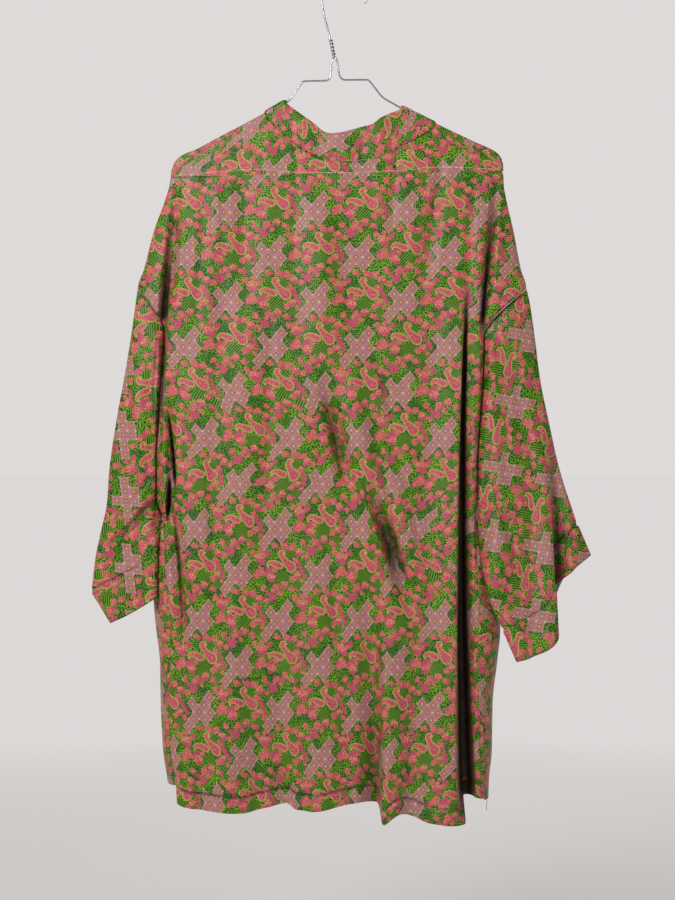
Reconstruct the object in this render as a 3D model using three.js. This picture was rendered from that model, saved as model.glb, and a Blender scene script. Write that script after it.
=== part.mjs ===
import * as THREE from 'three';
import { mergeVertices } from 'three/addons/utils/BufferGeometryUtils.js';

// Short silk kimono jacket that hangs on a wire hanger.
// Millimetres, +Z up. The jacket's back faces -Y and its open front faces +Y, so +X is the
// wearer's right. The origin is where a rail bears, inside the top of the hanger's hook.
// Heights are given as a drop, the distance below the origin.

// Driving sizes
const WIRE = 2.6;
const CLOTH = 1.4;
const BAND = 2.2;
const SEAM = 0.36;
const YOKE_SEAM = 0.7;
const SLEEVE_SEAM = 0.4;
const SIDE_SEAM = 0.5;
const WIRE_CLEARANCE = 0.45;
const CREASE_CLEARANCE = 0.9;
const HOOK_RADIUS = 30;
const BAR_DROP = 273;
const ARMHOLE_TOP = 420;
const ARMHOLE_BEND = 447;
const UNDERARM = 721;
const FRONT_HEM = 1062;
const BACK_HEM = 1086;
const YOKE_FOOT = 272;
const YOKE_SLOPE = 0.02;

// Where the back starts to follow its wavy hem
const HEM_WAVE_START = 900;

// How the cloth rounds its edges and falls away from the wire
const NOSE_RADIUS = 8;
const NOSE_START = 280;
const NOSE_RUN = 200;
const EDGE_SPREAD = 13;
const DRAPE_LENGTH = 60;
const FOLD_FADE = 5;
const SEAM_CLOSING = 30;

// How far below the shoulder the neckband turns up to its neckline, and leaves the shoulder's
// slope
const BAND_TURN = 20;
const BAND_FALL = 30;

// How far a sleeve takes to open from its armhole and to swing forward, as shares of its length
const SLEEVE_SETTLE = 0.09;
const SLEEVE_SWING = 0.7;

// The twist under the hook
const TWIST_TURNS = 2.5;
const TWIST_STEPS = 20;
const STRAND_GAP = 0.28;

// How far the middle of the cloth lies from the middle of the wire that carries it
const SEAT = WIRE / 2 + WIRE_CLEARANCE + CLOTH / 2;

// The shoulder line that the cloth takes over the wire, and its run across the open neck
const SHOULDER = [
  { x: -225, drop: 268 },
  { x: -220.5, drop: 256 },
  { x: -209, drop: 246 },
  { x: -193, drop: 239.5 },
  { x: -166, drop: 225 },
  { x: -123, drop: 202.5 },
  { x: -72, drop: 174 },
  { x: -34, drop: 153 },
  { x: 5, drop: 140 },
  { x: 44, drop: 157 },
  { x: 75, drop: 183.5 },
  { x: 123, drop: 207 },
  { x: 168, drop: 228.5 },
  { x: 195, drop: 241 },
  { x: 204.5, drop: 250 },
  { x: 207, drop: 262 },
];

// The body's outline and side edges. slit is half the armhole's opening, and leftSeam and
// rightSeam are where the side seams lie on the back.
const SIDES = [
  { drop: 120, left: -225, right: 206, slit: 0, leftSeam: -225, rightSeam: 206 },
  { drop: 268, left: -225, right: 206, slit: 0, leftSeam: -225, rightSeam: 206 },
  { drop: 280, left: -226, right: 207, slit: 0, leftSeam: -226, rightSeam: 207 },
  { drop: 303, left: -232, right: 211, slit: 0, leftSeam: -232, rightSeam: 211 },
  { drop: 348, left: -248, right: 221, slit: 0, leftSeam: -248, rightSeam: 221 },
  { drop: 395, left: -260, right: 230, slit: 0, leftSeam: -260, rightSeam: 230 },
  { drop: 420, left: -268, right: 237, slit: 0, leftSeam: -268, rightSeam: 237 },
  { drop: 434, left: -258, right: 222, slit: 6, leftSeam: -258, rightSeam: 222 },
  { drop: 449, left: -247, right: 205, slit: 9, leftSeam: -247, rightSeam: 205 },
  { drop: 464, left: -237, right: 191, slit: 9, leftSeam: -237, rightSeam: 191 },
  { drop: 479, left: -234, right: 182, slit: 8, leftSeam: -234, rightSeam: 182 },
  { drop: 540, left: -238, right: 180, slit: 8, leftSeam: -238, rightSeam: 180 },
  { drop: 582, left: -241, right: 177, slit: 8, leftSeam: -241, rightSeam: 177 },
  { drop: 647, left: -243, right: 173, slit: 8, leftSeam: -243, rightSeam: 173 },
  { drop: 692, left: -243, right: 173, slit: 5, leftSeam: -243, rightSeam: 173 },
  { drop: 721, left: -236, right: 173, slit: 0, leftSeam: -236, rightSeam: 173 },
  { drop: 745, left: -234, right: 173, slit: 0, leftSeam: -232, rightSeam: 171 },
  { drop: 790, left: -236, right: 181, slit: 0, leftSeam: -230, rightSeam: 173 },
  { drop: 815, left: -238, right: 192, slit: 0, leftSeam: -228, rightSeam: 175 },
  { drop: 863, left: -239, right: 203, slit: 0, leftSeam: -223, rightSeam: 173 },
  { drop: 905, left: -239, right: 199, slit: 0, leftSeam: -224, rightSeam: 172 },
  { drop: 959, left: -238, right: 193, slit: 0, leftSeam: -226, rightSeam: 174 },
  { drop: 1020, left: -235, right: 192, slit: 0, leftSeam: -224, rightSeam: 177 },
  { drop: 1062, left: -229, right: 188, slit: 0, leftSeam: -217, rightSeam: 181 },
  { drop: 1115, left: -226, right: 187, slit: 0, leftSeam: -214, rightSeam: 182 },
];

// How far the back and the fronts stand from the hanger's plane
const DEPTHS = [
  { drop: 140, back: 8, front: 8 },
  { drop: 265, back: 13, front: 12 },
  { drop: 360, back: 18, front: 16 },
  { drop: 460, back: 23, front: 19 },
  { drop: 600, back: 28, front: 23 },
  { drop: 800, back: 33, front: 27 },
  { drop: 960, back: 37, front: 31 },
  { drop: 1115, back: 41, front: 35 },
];

// The wavy lower edge of the back, below or above BACK_HEM
const HEM = [
  { x: -229, lower: -13 },
  { x: -221, lower: -5 },
  { x: -206, lower: 3 },
  { x: -157, lower: 8 },
  { x: -130, lower: 9 },
  { x: -101, lower: 3 },
  { x: -77, lower: -2 },
  { x: -62, lower: 5 },
  { x: -40, lower: 7 },
  { x: -2, lower: 0 },
  { x: 24, lower: -4 },
  { x: 36, lower: -3 },
  { x: 48, lower: 14 },
  { x: 59, lower: 23 },
  { x: 79, lower: 10 },
  { x: 107, lower: 21 },
  { x: 132, lower: 24 },
  { x: 148, lower: 15 },
  { x: 163, lower: -9 },
  { x: 184, lower: -5 },
];

// Folds of the back. Each runs from one height to another, bows sideways between, and is a
// ridge where rise is above 0 and a trough below it. lean pushes its crest sideways, so that
// one layer laps over the next.
const BACK_FOLDS = [
  { name: 'left shoulder crease', from: 264, to: 470, x0: -217, x1: -229, bow: 3,
    width0: 7, width1: 13, rise: [-4, -13, 0], lean0: 0, lean1: 0 },
  { name: 'right shoulder crease', from: 258, to: 470, x0: 203, x1: 181, bow: -3,
    width0: 7, width1: 13, rise: [-4, -13, 0], lean0: 0, lean1: 0 },
  { name: 'left underarm crease', from: 530, to: 721, x0: -229, x1: -225, bow: 4,
    width0: 9, width1: 9, rise: [0, -15, -8], lean0: 0, lean1: 0 },
  { name: 'left drag line', from: 715, to: 900, x0: -224, x1: -203, bow: 3,
    width0: 11, width1: 14, rise: [-9, -8, 0], lean0: 3, lean1: 0 },
  { name: 'right side lap', from: 390, to: 1130, x0: 151, x1: 134, bow: -8,
    width0: 26, width1: 26, rise: [0, 9, 10], lean0: 0, lean1: 12 },
  { name: 'right side hollow', from: 390, to: 1130, x0: 168, x1: 158, bow: -9,
    width0: 14, width1: 20, rise: [0, -20, -24], lean0: 0, lean1: -8 },
  { name: 'right yoke crease', from: 252, to: 430, x0: 127, x1: 94, bow: 4,
    width0: 8, width1: 22, rise: [-3, -6, 0], lean0: 0, lean1: 0 },
  { name: 'upper slanting crease', from: 530, to: 690, x0: -24, x1: 10, bow: -4,
    width0: 13, width1: 17, rise: [0, -12, 0], lean0: 0, lean1: 0 },
  { name: 'bright slanting ridge', from: 520, to: 800, x0: 4, x1: 50, bow: 3,
    width0: 20, width1: 26, rise: [0, 10, 0], lean0: 0, lean1: 0 },
  { name: 'lower slanting crease', from: 630, to: 840, x0: 14, x1: 88, bow: 3,
    width0: 13, width1: 17, rise: [0, -15, 0], lean0: 0, lean1: 0 },
  { name: 'middle lower lap', from: 760, to: 1130, x0: 60, x1: 66, bow: 2,
    width0: 24, width1: 30, rise: [0, 8, 11], lean0: 0, lean1: -10 },
  { name: 'middle lower hollow', from: 760, to: 1130, x0: 30, x1: 36, bow: 2,
    width0: 18, width1: 22, rise: [0, -10, -16], lean0: 0, lean1: 6 },
  { name: 'left middle ridge', from: 310, to: 1130, x0: -130, x1: -150, bow: 8,
    width0: 34, width1: 40, rise: [0, 4, 9], lean0: 0, lean1: 0 },
  { name: 'hem notch trough', from: 840, to: 1130, x0: -92, x1: -76, bow: 2,
    width0: 18, width1: 20, rise: [0, -6, -12], lean0: 0, lean1: 3 },
  { name: 'centre hem ridge', from: 720, to: 1130, x0: -34, x1: -30, bow: 4,
    width0: 26, width1: 32, rise: [0, 4, 9], lean0: 0, lean1: 0 },
  { name: 'upper left trough', from: 278, to: 450, x0: -132, x1: -128, bow: 2,
    width0: 16, width1: 24, rise: [-2, -5, 0], lean0: 0, lean1: 0 },
  { name: 'upper middle ridge', from: 278, to: 540, x0: -38, x1: -20, bow: 2,
    width0: 30, width1: 40, rise: [0, 6, 0], lean0: 0, lean1: 0 },
  { name: 'right hem ridge', from: 880, to: 1130, x0: 108, x1: 112, bow: 0,
    width0: 20, width1: 24, rise: [0, 3, 7], lean0: 0, lean1: 0 },
];

// Folds of the two fronts, which the back hides
const FRONT_FOLDS = [
  { name: 'left shoulder crease', from: 264, to: 470, x0: -215, x1: -227, bow: 3,
    width0: 8, width1: 14, rise: [-3, -10, 0], lean0: 0, lean1: 0 },
  { name: 'right shoulder crease', from: 258, to: 470, x0: 201, x1: 179, bow: -3,
    width0: 8, width1: 14, rise: [-3, -10, 0], lean0: 0, lean1: 0 },
  { name: 'left outer ridge', from: 345, to: 1110, x0: -180, x1: -194, bow: -6,
    width0: 20, width1: 28, rise: [0, 8, 12], lean0: 0, lean1: -6 },
  { name: 'left outer trough', from: 395, to: 1110, x0: -148, x1: -154, bow: -4,
    width0: 18, width1: 24, rise: [0, -9, -12], lean0: 0, lean1: 0 },
  { name: 'left inner ridge', from: 315, to: 1110, x0: -114, x1: -110, bow: 4,
    width0: 22, width1: 28, rise: [0, 6, 10], lean0: 0, lean1: 5 },
  { name: 'left edge trough', from: 535, to: 1110, x0: -78, x1: -75, bow: 2,
    width0: 16, width1: 20, rise: [0, -4, -7], lean0: 0, lean1: 0 },
  { name: 'right inner ridge', from: 315, to: 1110, x0: 118, x1: 104, bow: 4,
    width0: 22, width1: 30, rise: [0, 7, 10], lean0: 0, lean1: -4 },
  { name: 'right middle trough', from: 435, to: 1110, x0: 142, x1: 134, bow: 3,
    width0: 16, width1: 20, rise: [0, -8, -12], lean0: 0, lean1: 0 },
  { name: 'right outer ridge', from: 375, to: 1110, x0: 158, x1: 160, bow: 3,
    width0: 18, width1: 24, rise: [0, 7, 11], lean0: 0, lean1: 5 },
];

// The neckband round the back neck, from the left shoulder to the right. Each row joins a
// point of its seam to a point of its upper edge; the end rows lie on the shoulder line.
const BACK_NECK = [
  { seamX: -103, seamDrop: 0, edgeX: -76, edgeDrop: 0 },
  { seamX: -90, seamDrop: 209, edgeX: -60, edgeDrop: 190 },
  { seamX: -75, seamDrop: 223.5, edgeX: -43, edgeDrop: 203 },
  { seamX: -58, seamDrop: 236, edgeX: -29, edgeDrop: 216 },
  { seamX: -42, seamDrop: 245.5, edgeX: -18, edgeDrop: 220.5 },
  { seamX: -24, seamDrop: 252.5, edgeX: -6, edgeDrop: 219.5 },
  { seamX: 1, seamDrop: 256, edgeX: 7, edgeDrop: 216.5 },
  { seamX: 32, seamDrop: 254, edgeX: 22, edgeDrop: 212 },
  { seamX: 53, seamDrop: 246.5, edgeX: 36, edgeDrop: 208.5 },
  { seamX: 73, seamDrop: 236, edgeX: 46, edgeDrop: 201 },
  { seamX: 92, seamDrop: 226.5, edgeX: 58, edgeDrop: 194 },
  { seamX: 108, seamDrop: 214, edgeX: 68, edgeDrop: 189 },
  { seamX: 119, seamDrop: 0, edgeX: 75, edgeDrop: 0 },
];

// The neckband down each front edge, from the shoulder to the hem
const LEFT_BAND = [
  { drop: 140, seam: -103, edge: -76, rise: 18 },
  { drop: 192, seam: -103, edge: -76, rise: 18 },
  { drop: 212, seam: -101, edge: -67, rise: 14 },
  { drop: 242, seam: -99, edge: -57, rise: 8 },
  { drop: 305, seam: -96, edge: -51, rise: 3 },
  { drop: 400, seam: -89, edge: -44, rise: 0 },
  { drop: 565, seam: -77, edge: -32, rise: 0 },
  { drop: 760, seam: -69, edge: -24, rise: 0 },
  { drop: 900, seam: -65, edge: -20, rise: 0 },
  { drop: 1115, seam: -62, edge: -17, rise: 0 },
];
const RIGHT_BAND = [
  { drop: 140, seam: 119, edge: 75, rise: 20 },
  { drop: 206, seam: 119, edge: 75, rise: 20 },
  { drop: 226, seam: 116, edge: 70, rise: 16 },
  { drop: 252, seam: 112, edge: 64, rise: 9 },
  { drop: 305, seam: 106, edge: 58, rise: 4 },
  { drop: 400, seam: 98, edge: 52, rise: 0 },
  { drop: 565, seam: 86, edge: 42, rise: 0 },
  { drop: 760, seam: 78, edge: 33, rise: 0 },
  { drop: 900, seam: 74, edge: 29, rise: 0 },
  { drop: 1115, seam: 72, edge: 27, rise: 0 },
];

// Each sleeve hangs from its armhole. outer is its top fold and inner its lower fold, cuff is
// the line where the cuff is sewn on and hem the cuff's free edge, both from outer to inner.
const LEFT_SLEEVE = {
  side: 'left',
  outer: [
    { x: -268, drop: 420 },
    { x: -272, drop: 451 },
    { x: -277, drop: 486 },
    { x: -286, drop: 540 },
    { x: -295, drop: 589 },
    { x: -305, drop: 658 },
    { x: -308, drop: 700 },
    { x: -315, drop: 733 },
    { x: -323, drop: 772 },
    { x: -328, drop: 814 },
  ],
  inner: [
    { x: -236.9, drop: 721 },
    { x: -238, drop: 731 },
    { x: -240, drop: 747 },
    { x: -241, drop: 763 },
  ],
  cuff: [
    { x: -328, drop: 814 },
    { x: -296, drop: 796 },
    { x: -268, drop: 781 },
    { x: -241, drop: 763 },
  ],
  hem: [
    { x: -303, drop: 855 },
    { x: -284, drop: 846 },
    { x: -262, drop: 834 },
    { x: -242, drop: 821 },
  ],
  forward: 24,
  depth: 17,
  backFolds: [
    { name: 'elbow crease', from: 690, to: 762, x0: -238, x1: -306, bow: 0,
      width0: 12, width1: 15, rise: [-5, -10, 0], lean0: 0, lean1: 0 },
    { name: 'upper sleeve ridge', from: 490, to: 780, x0: -255, x1: -272, bow: -6,
      width0: 15, width1: 22, rise: [0, 6, 0], lean0: 0, lean1: 0 },
    { name: 'lower sleeve ridge', from: 745, to: 870, x0: -292, x1: -278, bow: 0,
      width0: 20, width1: 22, rise: [0, 4, 3], lean0: 0, lean1: 0 },
  ],
  frontFolds: [
    { name: 'long trough', from: 535, to: 870, x0: -262, x1: -284, bow: -4,
      width0: 16, width1: 22, rise: [0, -7, -6], lean0: 0, lean1: 0 },
    { name: 'long ridge', from: 615, to: 870, x0: -255, x1: -258, bow: 0,
      width0: 14, width1: 18, rise: [0, 6, 5], lean0: 0, lean1: 0 },
  ],
};
const RIGHT_SLEEVE = {
  side: 'right',
  outer: [
    { x: 237, drop: 420 },
    { x: 241, drop: 438 },
    { x: 248, drop: 486 },
    { x: 255, drop: 540 },
    { x: 263, drop: 580 },
    { x: 270, drop: 612 },
    { x: 277, drop: 644 },
    { x: 286, drop: 676 },
    { x: 295, drop: 703 },
    { x: 303, drop: 727 },
  ],
  inner: [
    { x: 173.9, drop: 721 },
    { x: 175, drop: 745 },
    { x: 178, drop: 775 },
    { x: 184, drop: 810 },
    { x: 192, drop: 836 },
    { x: 204, drop: 861 },
  ],
  cuff: [
    { x: 303, drop: 727 },
    { x: 285, drop: 746 },
    { x: 270, drop: 778 },
    { x: 257, drop: 818 },
    { x: 242, drop: 842 },
    { x: 224, drop: 852 },
    { x: 204, drop: 861 },
  ],
  hem: [
    { x: 320, drop: 767 },
    { x: 297, drop: 785 },
    { x: 280, drop: 813 },
    { x: 268, drop: 855 },
    { x: 253, drop: 884 },
    { x: 238, drop: 897 },
    { x: 222, drop: 902 },
  ],
  forward: 34,
  depth: 18,
  backFolds: [
    { name: 'near lap', from: 575, to: 945, x0: 256, x1: 258, bow: 0,
      width0: 15, width1: 19, rise: [0, 5, 6], lean0: 0, lean1: 14 },
    { name: 'far hollow', from: 575, to: 945, x0: 278, x1: 281, bow: 0,
      width0: 14, width1: 19, rise: [0, -12, -14], lean0: 0, lean1: -14 },
    { name: 'inner sleeve ridge', from: 515, to: 815, x0: 194, x1: 204, bow: -3,
      width0: 14, width1: 18, rise: [0, 4, 0], lean0: 0, lean1: 0 },
  ],
  frontFolds: [
    { name: 'long trough', from: 555, to: 945, x0: 214, x1: 250, bow: 4,
      width0: 18, width1: 26, rise: [0, -7, -8], lean0: 0, lean1: 0 },
    { name: 'long ridge', from: 575, to: 945, x0: 238, x1: 282, bow: 2,
      width0: 14, width1: 20, rise: [0, 6, 5], lean0: 0, lean1: 0 },
  ],
};

// Heights that the panels share, so that their edges match at the seams
const ARMHOLE_ROWS = [420, 427, 434, 449, 464, 479, 508, 542, 582, 615, 647, 677, 703, 721];
const LOWER_ROWS = [750, 792, 835, 878, 920, 960, 998, 1028, 1048];
const UPPER_ROWS = [290, 316, 346, 382];

const clamp01 = (t) => Math.min(1, Math.max(0, t));
const mix = (a, b, t) => a + (b - a) * t;
const ease = (t) => clamp01(t) ** 2 * (3 - 2 * clamp01(t));
const bump = (t) => (Math.abs(t) < 1 ? (1 - t * t) ** 2 : 0);
const quarter = (t) => Math.sqrt(1 - (1 - clamp01(t)) ** 2);

// Reads one column of a table at a place along another, smoothly and with no overshoot.
function read(rows, along, place, name) {
  const last = rows.length - 1;
  if (place <= rows[0][along]) return rows[0][name];
  if (place >= rows[last][along]) return rows[last][name];
  const i = rows.findIndex((row, k) => k < last && place < rows[k + 1][along]);
  const step = (k) => rows[k + 1][along] - rows[k][along];
  const slope = (k) => (rows[k + 1][name] - rows[k][name]) / step(k);
  const tangent = (k) => {
    if (k === 0) return slope(0);
    if (k === last) return slope(last - 1);
    const a = slope(k - 1);
    const b = slope(k);
    return a * b > 0 ? (2 * a * b) / (a + b) : 0;
  };
  const h = step(i);
  const t = (place - rows[i][along]) / h;
  const start = (2 * t ** 3 - 3 * t * t + 1) * rows[i][name] + (t ** 3 - 2 * t * t + t) * h * tangent(i);
  const end = (3 * t * t - 2 * t ** 3) * rows[i + 1][name] + (t ** 3 - t * t) * h * tangent(i + 1);
  return start + end;
}

// Adds up what a list of folds does to the cloth at a place.
function folded(folds, x, drop) {
  let rise = 0;
  let lean = 0;
  for (const fold of folds) {
    const t = (drop - fold.from) / (fold.to - fold.from);
    if (t < 0 || t > 1) continue;
    const middle = mix(fold.x0, fold.x1, t) + fold.bow * 4 * t * (1 - t);
    const shape = bump((x - middle) / mix(fold.width0, fold.width1, t));
    const [start, half, end] = fold.rise;
    rise += shape * (start * (1 - t) * (1 - 2 * t) + half * 4 * t * (1 - t) + end * t * (2 * t - 1));
    lean += shape * mix(fold.lean0, fold.lean1, t);
  }
  return { rise, lean };
}

const shoulderDrop = (x) => read(SHOULDER, 'x', x, 'drop');
const yokeDrop = (x) => YOKE_FOOT - YOKE_SLOPE * x;
const side = (drop, name) => read(SIDES, 'drop', drop, name);

// A point of the jacket's body. face is -1 on the back and 1 on the front, and lift raises the
// thicker neckband off the wire.
function bodyPoint(x, drop, face, lift = 0) {
  const left = side(drop, 'left');
  const right = side(drop, 'right');
  const slit = side(drop, 'slit');
  const inset = Math.max(0, Math.min(x - left, right - x));
  const fall = Math.max(0, drop - shoulderDrop(x) + lift);
  const seat = SEAT + lift;
  const nose = mix(seat, NOSE_RADIUS, ease((drop - NOSE_START) / NOSE_RUN));
  const spread = 1 - Math.exp(-inset / EDGE_SPREAD);
  const growth = 1 - Math.exp(-fall / DRAPE_LENGTH);
  const wave = folded(face < 0 ? BACK_FOLDS : FRONT_FOLDS, x, drop);
  const deep = read(DEPTHS, 'drop', drop, face < 0 ? 'back' : 'front') + wave.rise * ease(inset / FOLD_FADE);
  const round = fall < seat ? quarter(Math.min(inset, fall) / seat) * seat : quarter(inset / nose) * nose;
  const open = slit * (1 - spread);
  const y = open + Math.min(round, seat + (nose - seat) * growth) + Math.max(0, deep - nose) * growth * spread;
  return new THREE.Vector3(x + wave.lean * spread, face * y, -drop);
}

// The normals of a grid of points. Where an edge lies in the hanger's plane its normal does too.
function gridNormals(grid, closed) {
  const rows = grid.length;
  const columns = grid[0].length;
  const normals = [];
  for (let r = 0; r < rows; r++) {
    const line = [];
    for (let c = 0; c < columns; c++) {
      const up = grid[Math.max(0, r - 1)][c];
      const down = grid[Math.min(rows - 1, r + 1)][c];
      const before = closed ? grid[r][(c + columns - 1) % columns] : grid[r][Math.max(0, c - 1)];
      const after = closed ? grid[r][(c + 1) % columns] : grid[r][Math.min(columns - 1, c + 1)];
      const along = after.clone().sub(before);
      const across = down.clone().sub(up);
      const normal = along.cross(across).normalize();
      const border = r === 0 || r === rows - 1 || (!closed && (c === 0 || c === columns - 1));
      if (border && Math.abs(grid[r][c].y) < SEAM) normal.setY(0).normalize();
      line.push(normal);
    }
    normals.push(line);
  }
  return normals;
}

// Makes a wall of cloth round a grid of points, open at its edges or closed into a tube.
function wall(grid, thickness, closed = false, normals = gridNormals(grid, closed)) {
  const rows = grid.length;
  const columns = grid[0].length;
  const positions = [];
  for (const half of [0.5, -0.5]) {
    grid.forEach((line, r) => line.forEach((point, c) => {
      const moved = point.clone().addScaledVector(normals[r][c], half * thickness);
      positions.push(moved.x, moved.y, moved.z);
    }));
  }
  const top = (r, c) => r * columns + (c % columns);
  const under = (r, c) => rows * columns + top(r, c);
  const indices = [];
  const quad = (a, b, c, d) => indices.push(a, b, c, a, c, d);
  const wide = closed ? columns : columns - 1;
  for (let r = 0; r < rows - 1; r++) {
    for (let c = 0; c < wide; c++) {
      quad(top(r, c), top(r, c + 1), top(r + 1, c + 1), top(r + 1, c));
      quad(under(r, c), under(r + 1, c), under(r + 1, c + 1), under(r, c + 1));
    }
  }
  for (let c = 0; c < wide; c++) {
    quad(top(0, c), under(0, c), under(0, c + 1), top(0, c + 1));
    quad(top(rows - 1, c), top(rows - 1, c + 1), under(rows - 1, c + 1), under(rows - 1, c));
  }
  if (!closed) {
    const end = columns - 1;
    for (let r = 0; r < rows - 1; r++) {
      quad(top(r, 0), top(r + 1, 0), under(r + 1, 0), under(r, 0));
      quad(top(r, end), under(r, end), under(r + 1, end), top(r + 1, end));
    }
  }
  const geometry = new THREE.BufferGeometry();
  geometry.setAttribute('position', new THREE.Float32BufferAttribute(positions, 3));
  geometry.setIndex(indices);
  return outward(geometry);
}

// Turns a closed surface so that its faces point out.
function outward(geometry) {
  const position = geometry.getAttribute('position');
  const index = geometry.getIndex().array;
  const corner = (k) => new THREE.Vector3().fromBufferAttribute(position, index[k]);
  let volume = 0;
  for (let k = 0; k < index.length; k += 3) {
    volume += corner(k).dot(corner(k + 1).cross(corner(k + 2)));
  }
  if (volume < 0) {
    for (let k = 0; k < index.length; k += 3) {
      [index[k + 1], index[k + 2]] = [index[k + 2], index[k + 1]];
    }
  }
  geometry.computeVertexNormals();
  return geometry;
}

// Where the back neck's seam and edge lie, part of the way from the left shoulder to the right
function backNeck(t) {
  const row = t * (BACK_NECK.length - 1);
  const rows = BACK_NECK.map((entry, k) => ({
    k,
    ...entry,
    seamDrop: entry.seamDrop || shoulderDrop(entry.seamX),
    edgeDrop: entry.edgeDrop || shoulderDrop(entry.edgeX),
  }));
  const at = (name) => read(rows, 'k', row, name);
  return { seamX: at('seamX'), seamDrop: at('seamDrop'), edgeX: at('edgeX'), edgeDrop: at('edgeDrop') };
}

// The yoke and the back share their columns, which crowd towards the two sides. The first and
// last of the yoke's columns that end at the neck are named.
const COLUMN_COUNT = 42;
const COLUMN_CROWDING = 0.8;
const NECK_FIRST = 12;
const NECK_LAST = 32;
const COLUMNS = Array.from({ length: COLUMN_COUNT + 1 }, (_, k) => {
  const t = k / COLUMN_COUNT;
  return mix(t, (1 - Math.cos(Math.PI * t)) / 2, COLUMN_CROWDING);
});

// The band's stations round the back neck. Three at each end follow the bend over the wire.
const BEND = [0, 0.28, 1, 2.4];
const BEND_INSET = 0.7;
const NECK_STATIONS = COLUMNS.slice(NECK_FIRST, NECK_LAST + 1).map((share, k, all) => {
  const fromEnd = Math.min(k, all.length - 1 - k);
  const t = k / (all.length - 1);
  if (fromEnd >= BEND.length) return { ...backNeck(t), bend: -1 };
  const end = backNeck(k === fromEnd ? 0 : 1);
  const inward = (k === fromEnd ? 1 : -1) * fromEnd * BEND_INSET;
  const fall = BEND[fromEnd] * SEAT;
  const seamX = end.seamX + inward;
  const edgeX = end.edgeX + inward;
  return {
    seamX,
    edgeX,
    seamDrop: shoulderDrop(seamX) + fall,
    edgeDrop: shoulderDrop(edgeX) + fall,
    bend: fromEnd,
  };
});

// Where a column of the yoke starts: on the shoulder line beside the neck, else under the band
function yokeTop(k) {
  const last = NECK_STATIONS.length - 1;
  if (k < NECK_FIRST) {
    const x = mix(SHOULDER[0].x, NECK_STATIONS[0].seamX, COLUMNS[k] / COLUMNS[NECK_FIRST]);
    return { x, drop: shoulderDrop(x), onWire: true };
  }
  if (k > NECK_LAST) {
    const t = (1 - COLUMNS[k]) / (1 - COLUMNS[NECK_LAST]);
    const x = mix(SHOULDER[SHOULDER.length - 1].x, NECK_STATIONS[last].seamX, t);
    return { x, drop: shoulderDrop(x), onWire: true };
  }
  const n = k - NECK_FIRST;
  const before = NECK_STATIONS[Math.max(0, n - 1)];
  const after = NECK_STATIONS[Math.min(last, n + 1)];
  const slope = (after.seamDrop - before.seamDrop) / (after.seamX - before.seamX);
  const { seamX: x, seamDrop } = NECK_STATIONS[n];
  return { x, drop: seamDrop + SEAM * Math.hypot(1, slope), onWire: false };
}

function yokeGrid() {
  const levels = [0, 0.28, 1, 3.6];
  const shares = [0.33, 0.66, 1];
  const grid = [];
  for (let r = 0; r < levels.length + shares.length; r++) {
    grid.push(COLUMNS.map((share, k) => {
      const top = yokeTop(k);
      const foot = mix(side(YOKE_FOOT, 'left'), side(YOKE_FOOT, 'right'), share);
      const bottom = yokeDrop(foot) - YOKE_SEAM / 2;
      const level = Math.min(bottom, top.drop + SEAT * levels[Math.min(r, levels.length - 1)]);
      const down = r < levels.length ? 0 : shares[r - levels.length];
      const point = bodyPoint(mix(top.x, foot, down), mix(level, bottom, down), -1);
      const edge = k === 0 || k === COLUMN_COUNT;
      if (edge || (r === 0 && top.onWire)) point.y = -SEAM / 2;
      return point;
    }));
  }
  return grid;
}

// How far a panel's edge keeps from the middle of its seam
function seamRoom(drop) {
  if (drop <= ARMHOLE_TOP) return 0;
  if (drop < ARMHOLE_BEND) return SEAM;
  if (drop <= UNDERARM) return CREASE_CLEARANCE;
  return mix(CREASE_CLEARANCE, SIDE_SEAM, ease((drop - UNDERARM) / SEAM_CLOSING));
}

function backGrid() {
  const rows = [0, ...UPPER_ROWS, ...ARMHOLE_ROWS, ...LOWER_ROWS, BACK_HEM];
  const hemWeight = (drop) => ease((drop - HEM_WAVE_START) / (BACK_HEM - HEM_WAVE_START));
  const grid = rows.map((nominal, r) => COLUMNS.map((share, c) => {
    const level = nominal || YOKE_FOOT;
    const room = seamRoom(level);
    const left = side(level, 'leftSeam') + room;
    const right = side(level, 'rightSeam') - room;
    const x = mix(left, right, share);
    const drop = r === 0
      ? yokeDrop(x) + YOKE_SEAM / 2
      : level + read(HEM, 'x', x, 'lower') * hemWeight(level);
    const point = bodyPoint(x, drop, -1);
    const edge = c === 0 || c === COLUMN_COUNT;
    if (edge && (level <= ARMHOLE_TOP || level === UNDERARM)) point.y = -SEAM / 2;
    return point;
  }));
  return grid;
}

// The yoke and the back lean alike at the seam between them.
function backPanels() {
  const upper = yokeGrid();
  const lower = backGrid();
  const normals = gridNormals([...upper, ...lower.slice(1)], false);
  const seam = upper.length - 1;
  return {
    yoke: wall(upper, CLOTH, false, normals.slice(0, upper.length)),
    back: wall(lower, CLOTH, false, normals.slice(seam)),
  };
}

const FRONT_COLUMN_COUNT = 17;
const FRONT_LEVELS = [0, 0.28, 1, 3.6];
const FRONT_SHARES = [0.3, 0.62];

// The heights of a front's rows at a place across it, from the shoulder to the hem
function frontRows(x) {
  const top = shoulderDrop(x);
  const below = FRONT_LEVELS.map((level) => top + SEAT * level);
  const start = below[below.length - 1];
  const between = FRONT_SHARES.map((share) => mix(start, UPPER_ROWS[0], share));
  return [...below, ...between, ...UPPER_ROWS, ...ARMHOLE_ROWS, ...LOWER_ROWS, FRONT_HEM];
}

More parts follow.
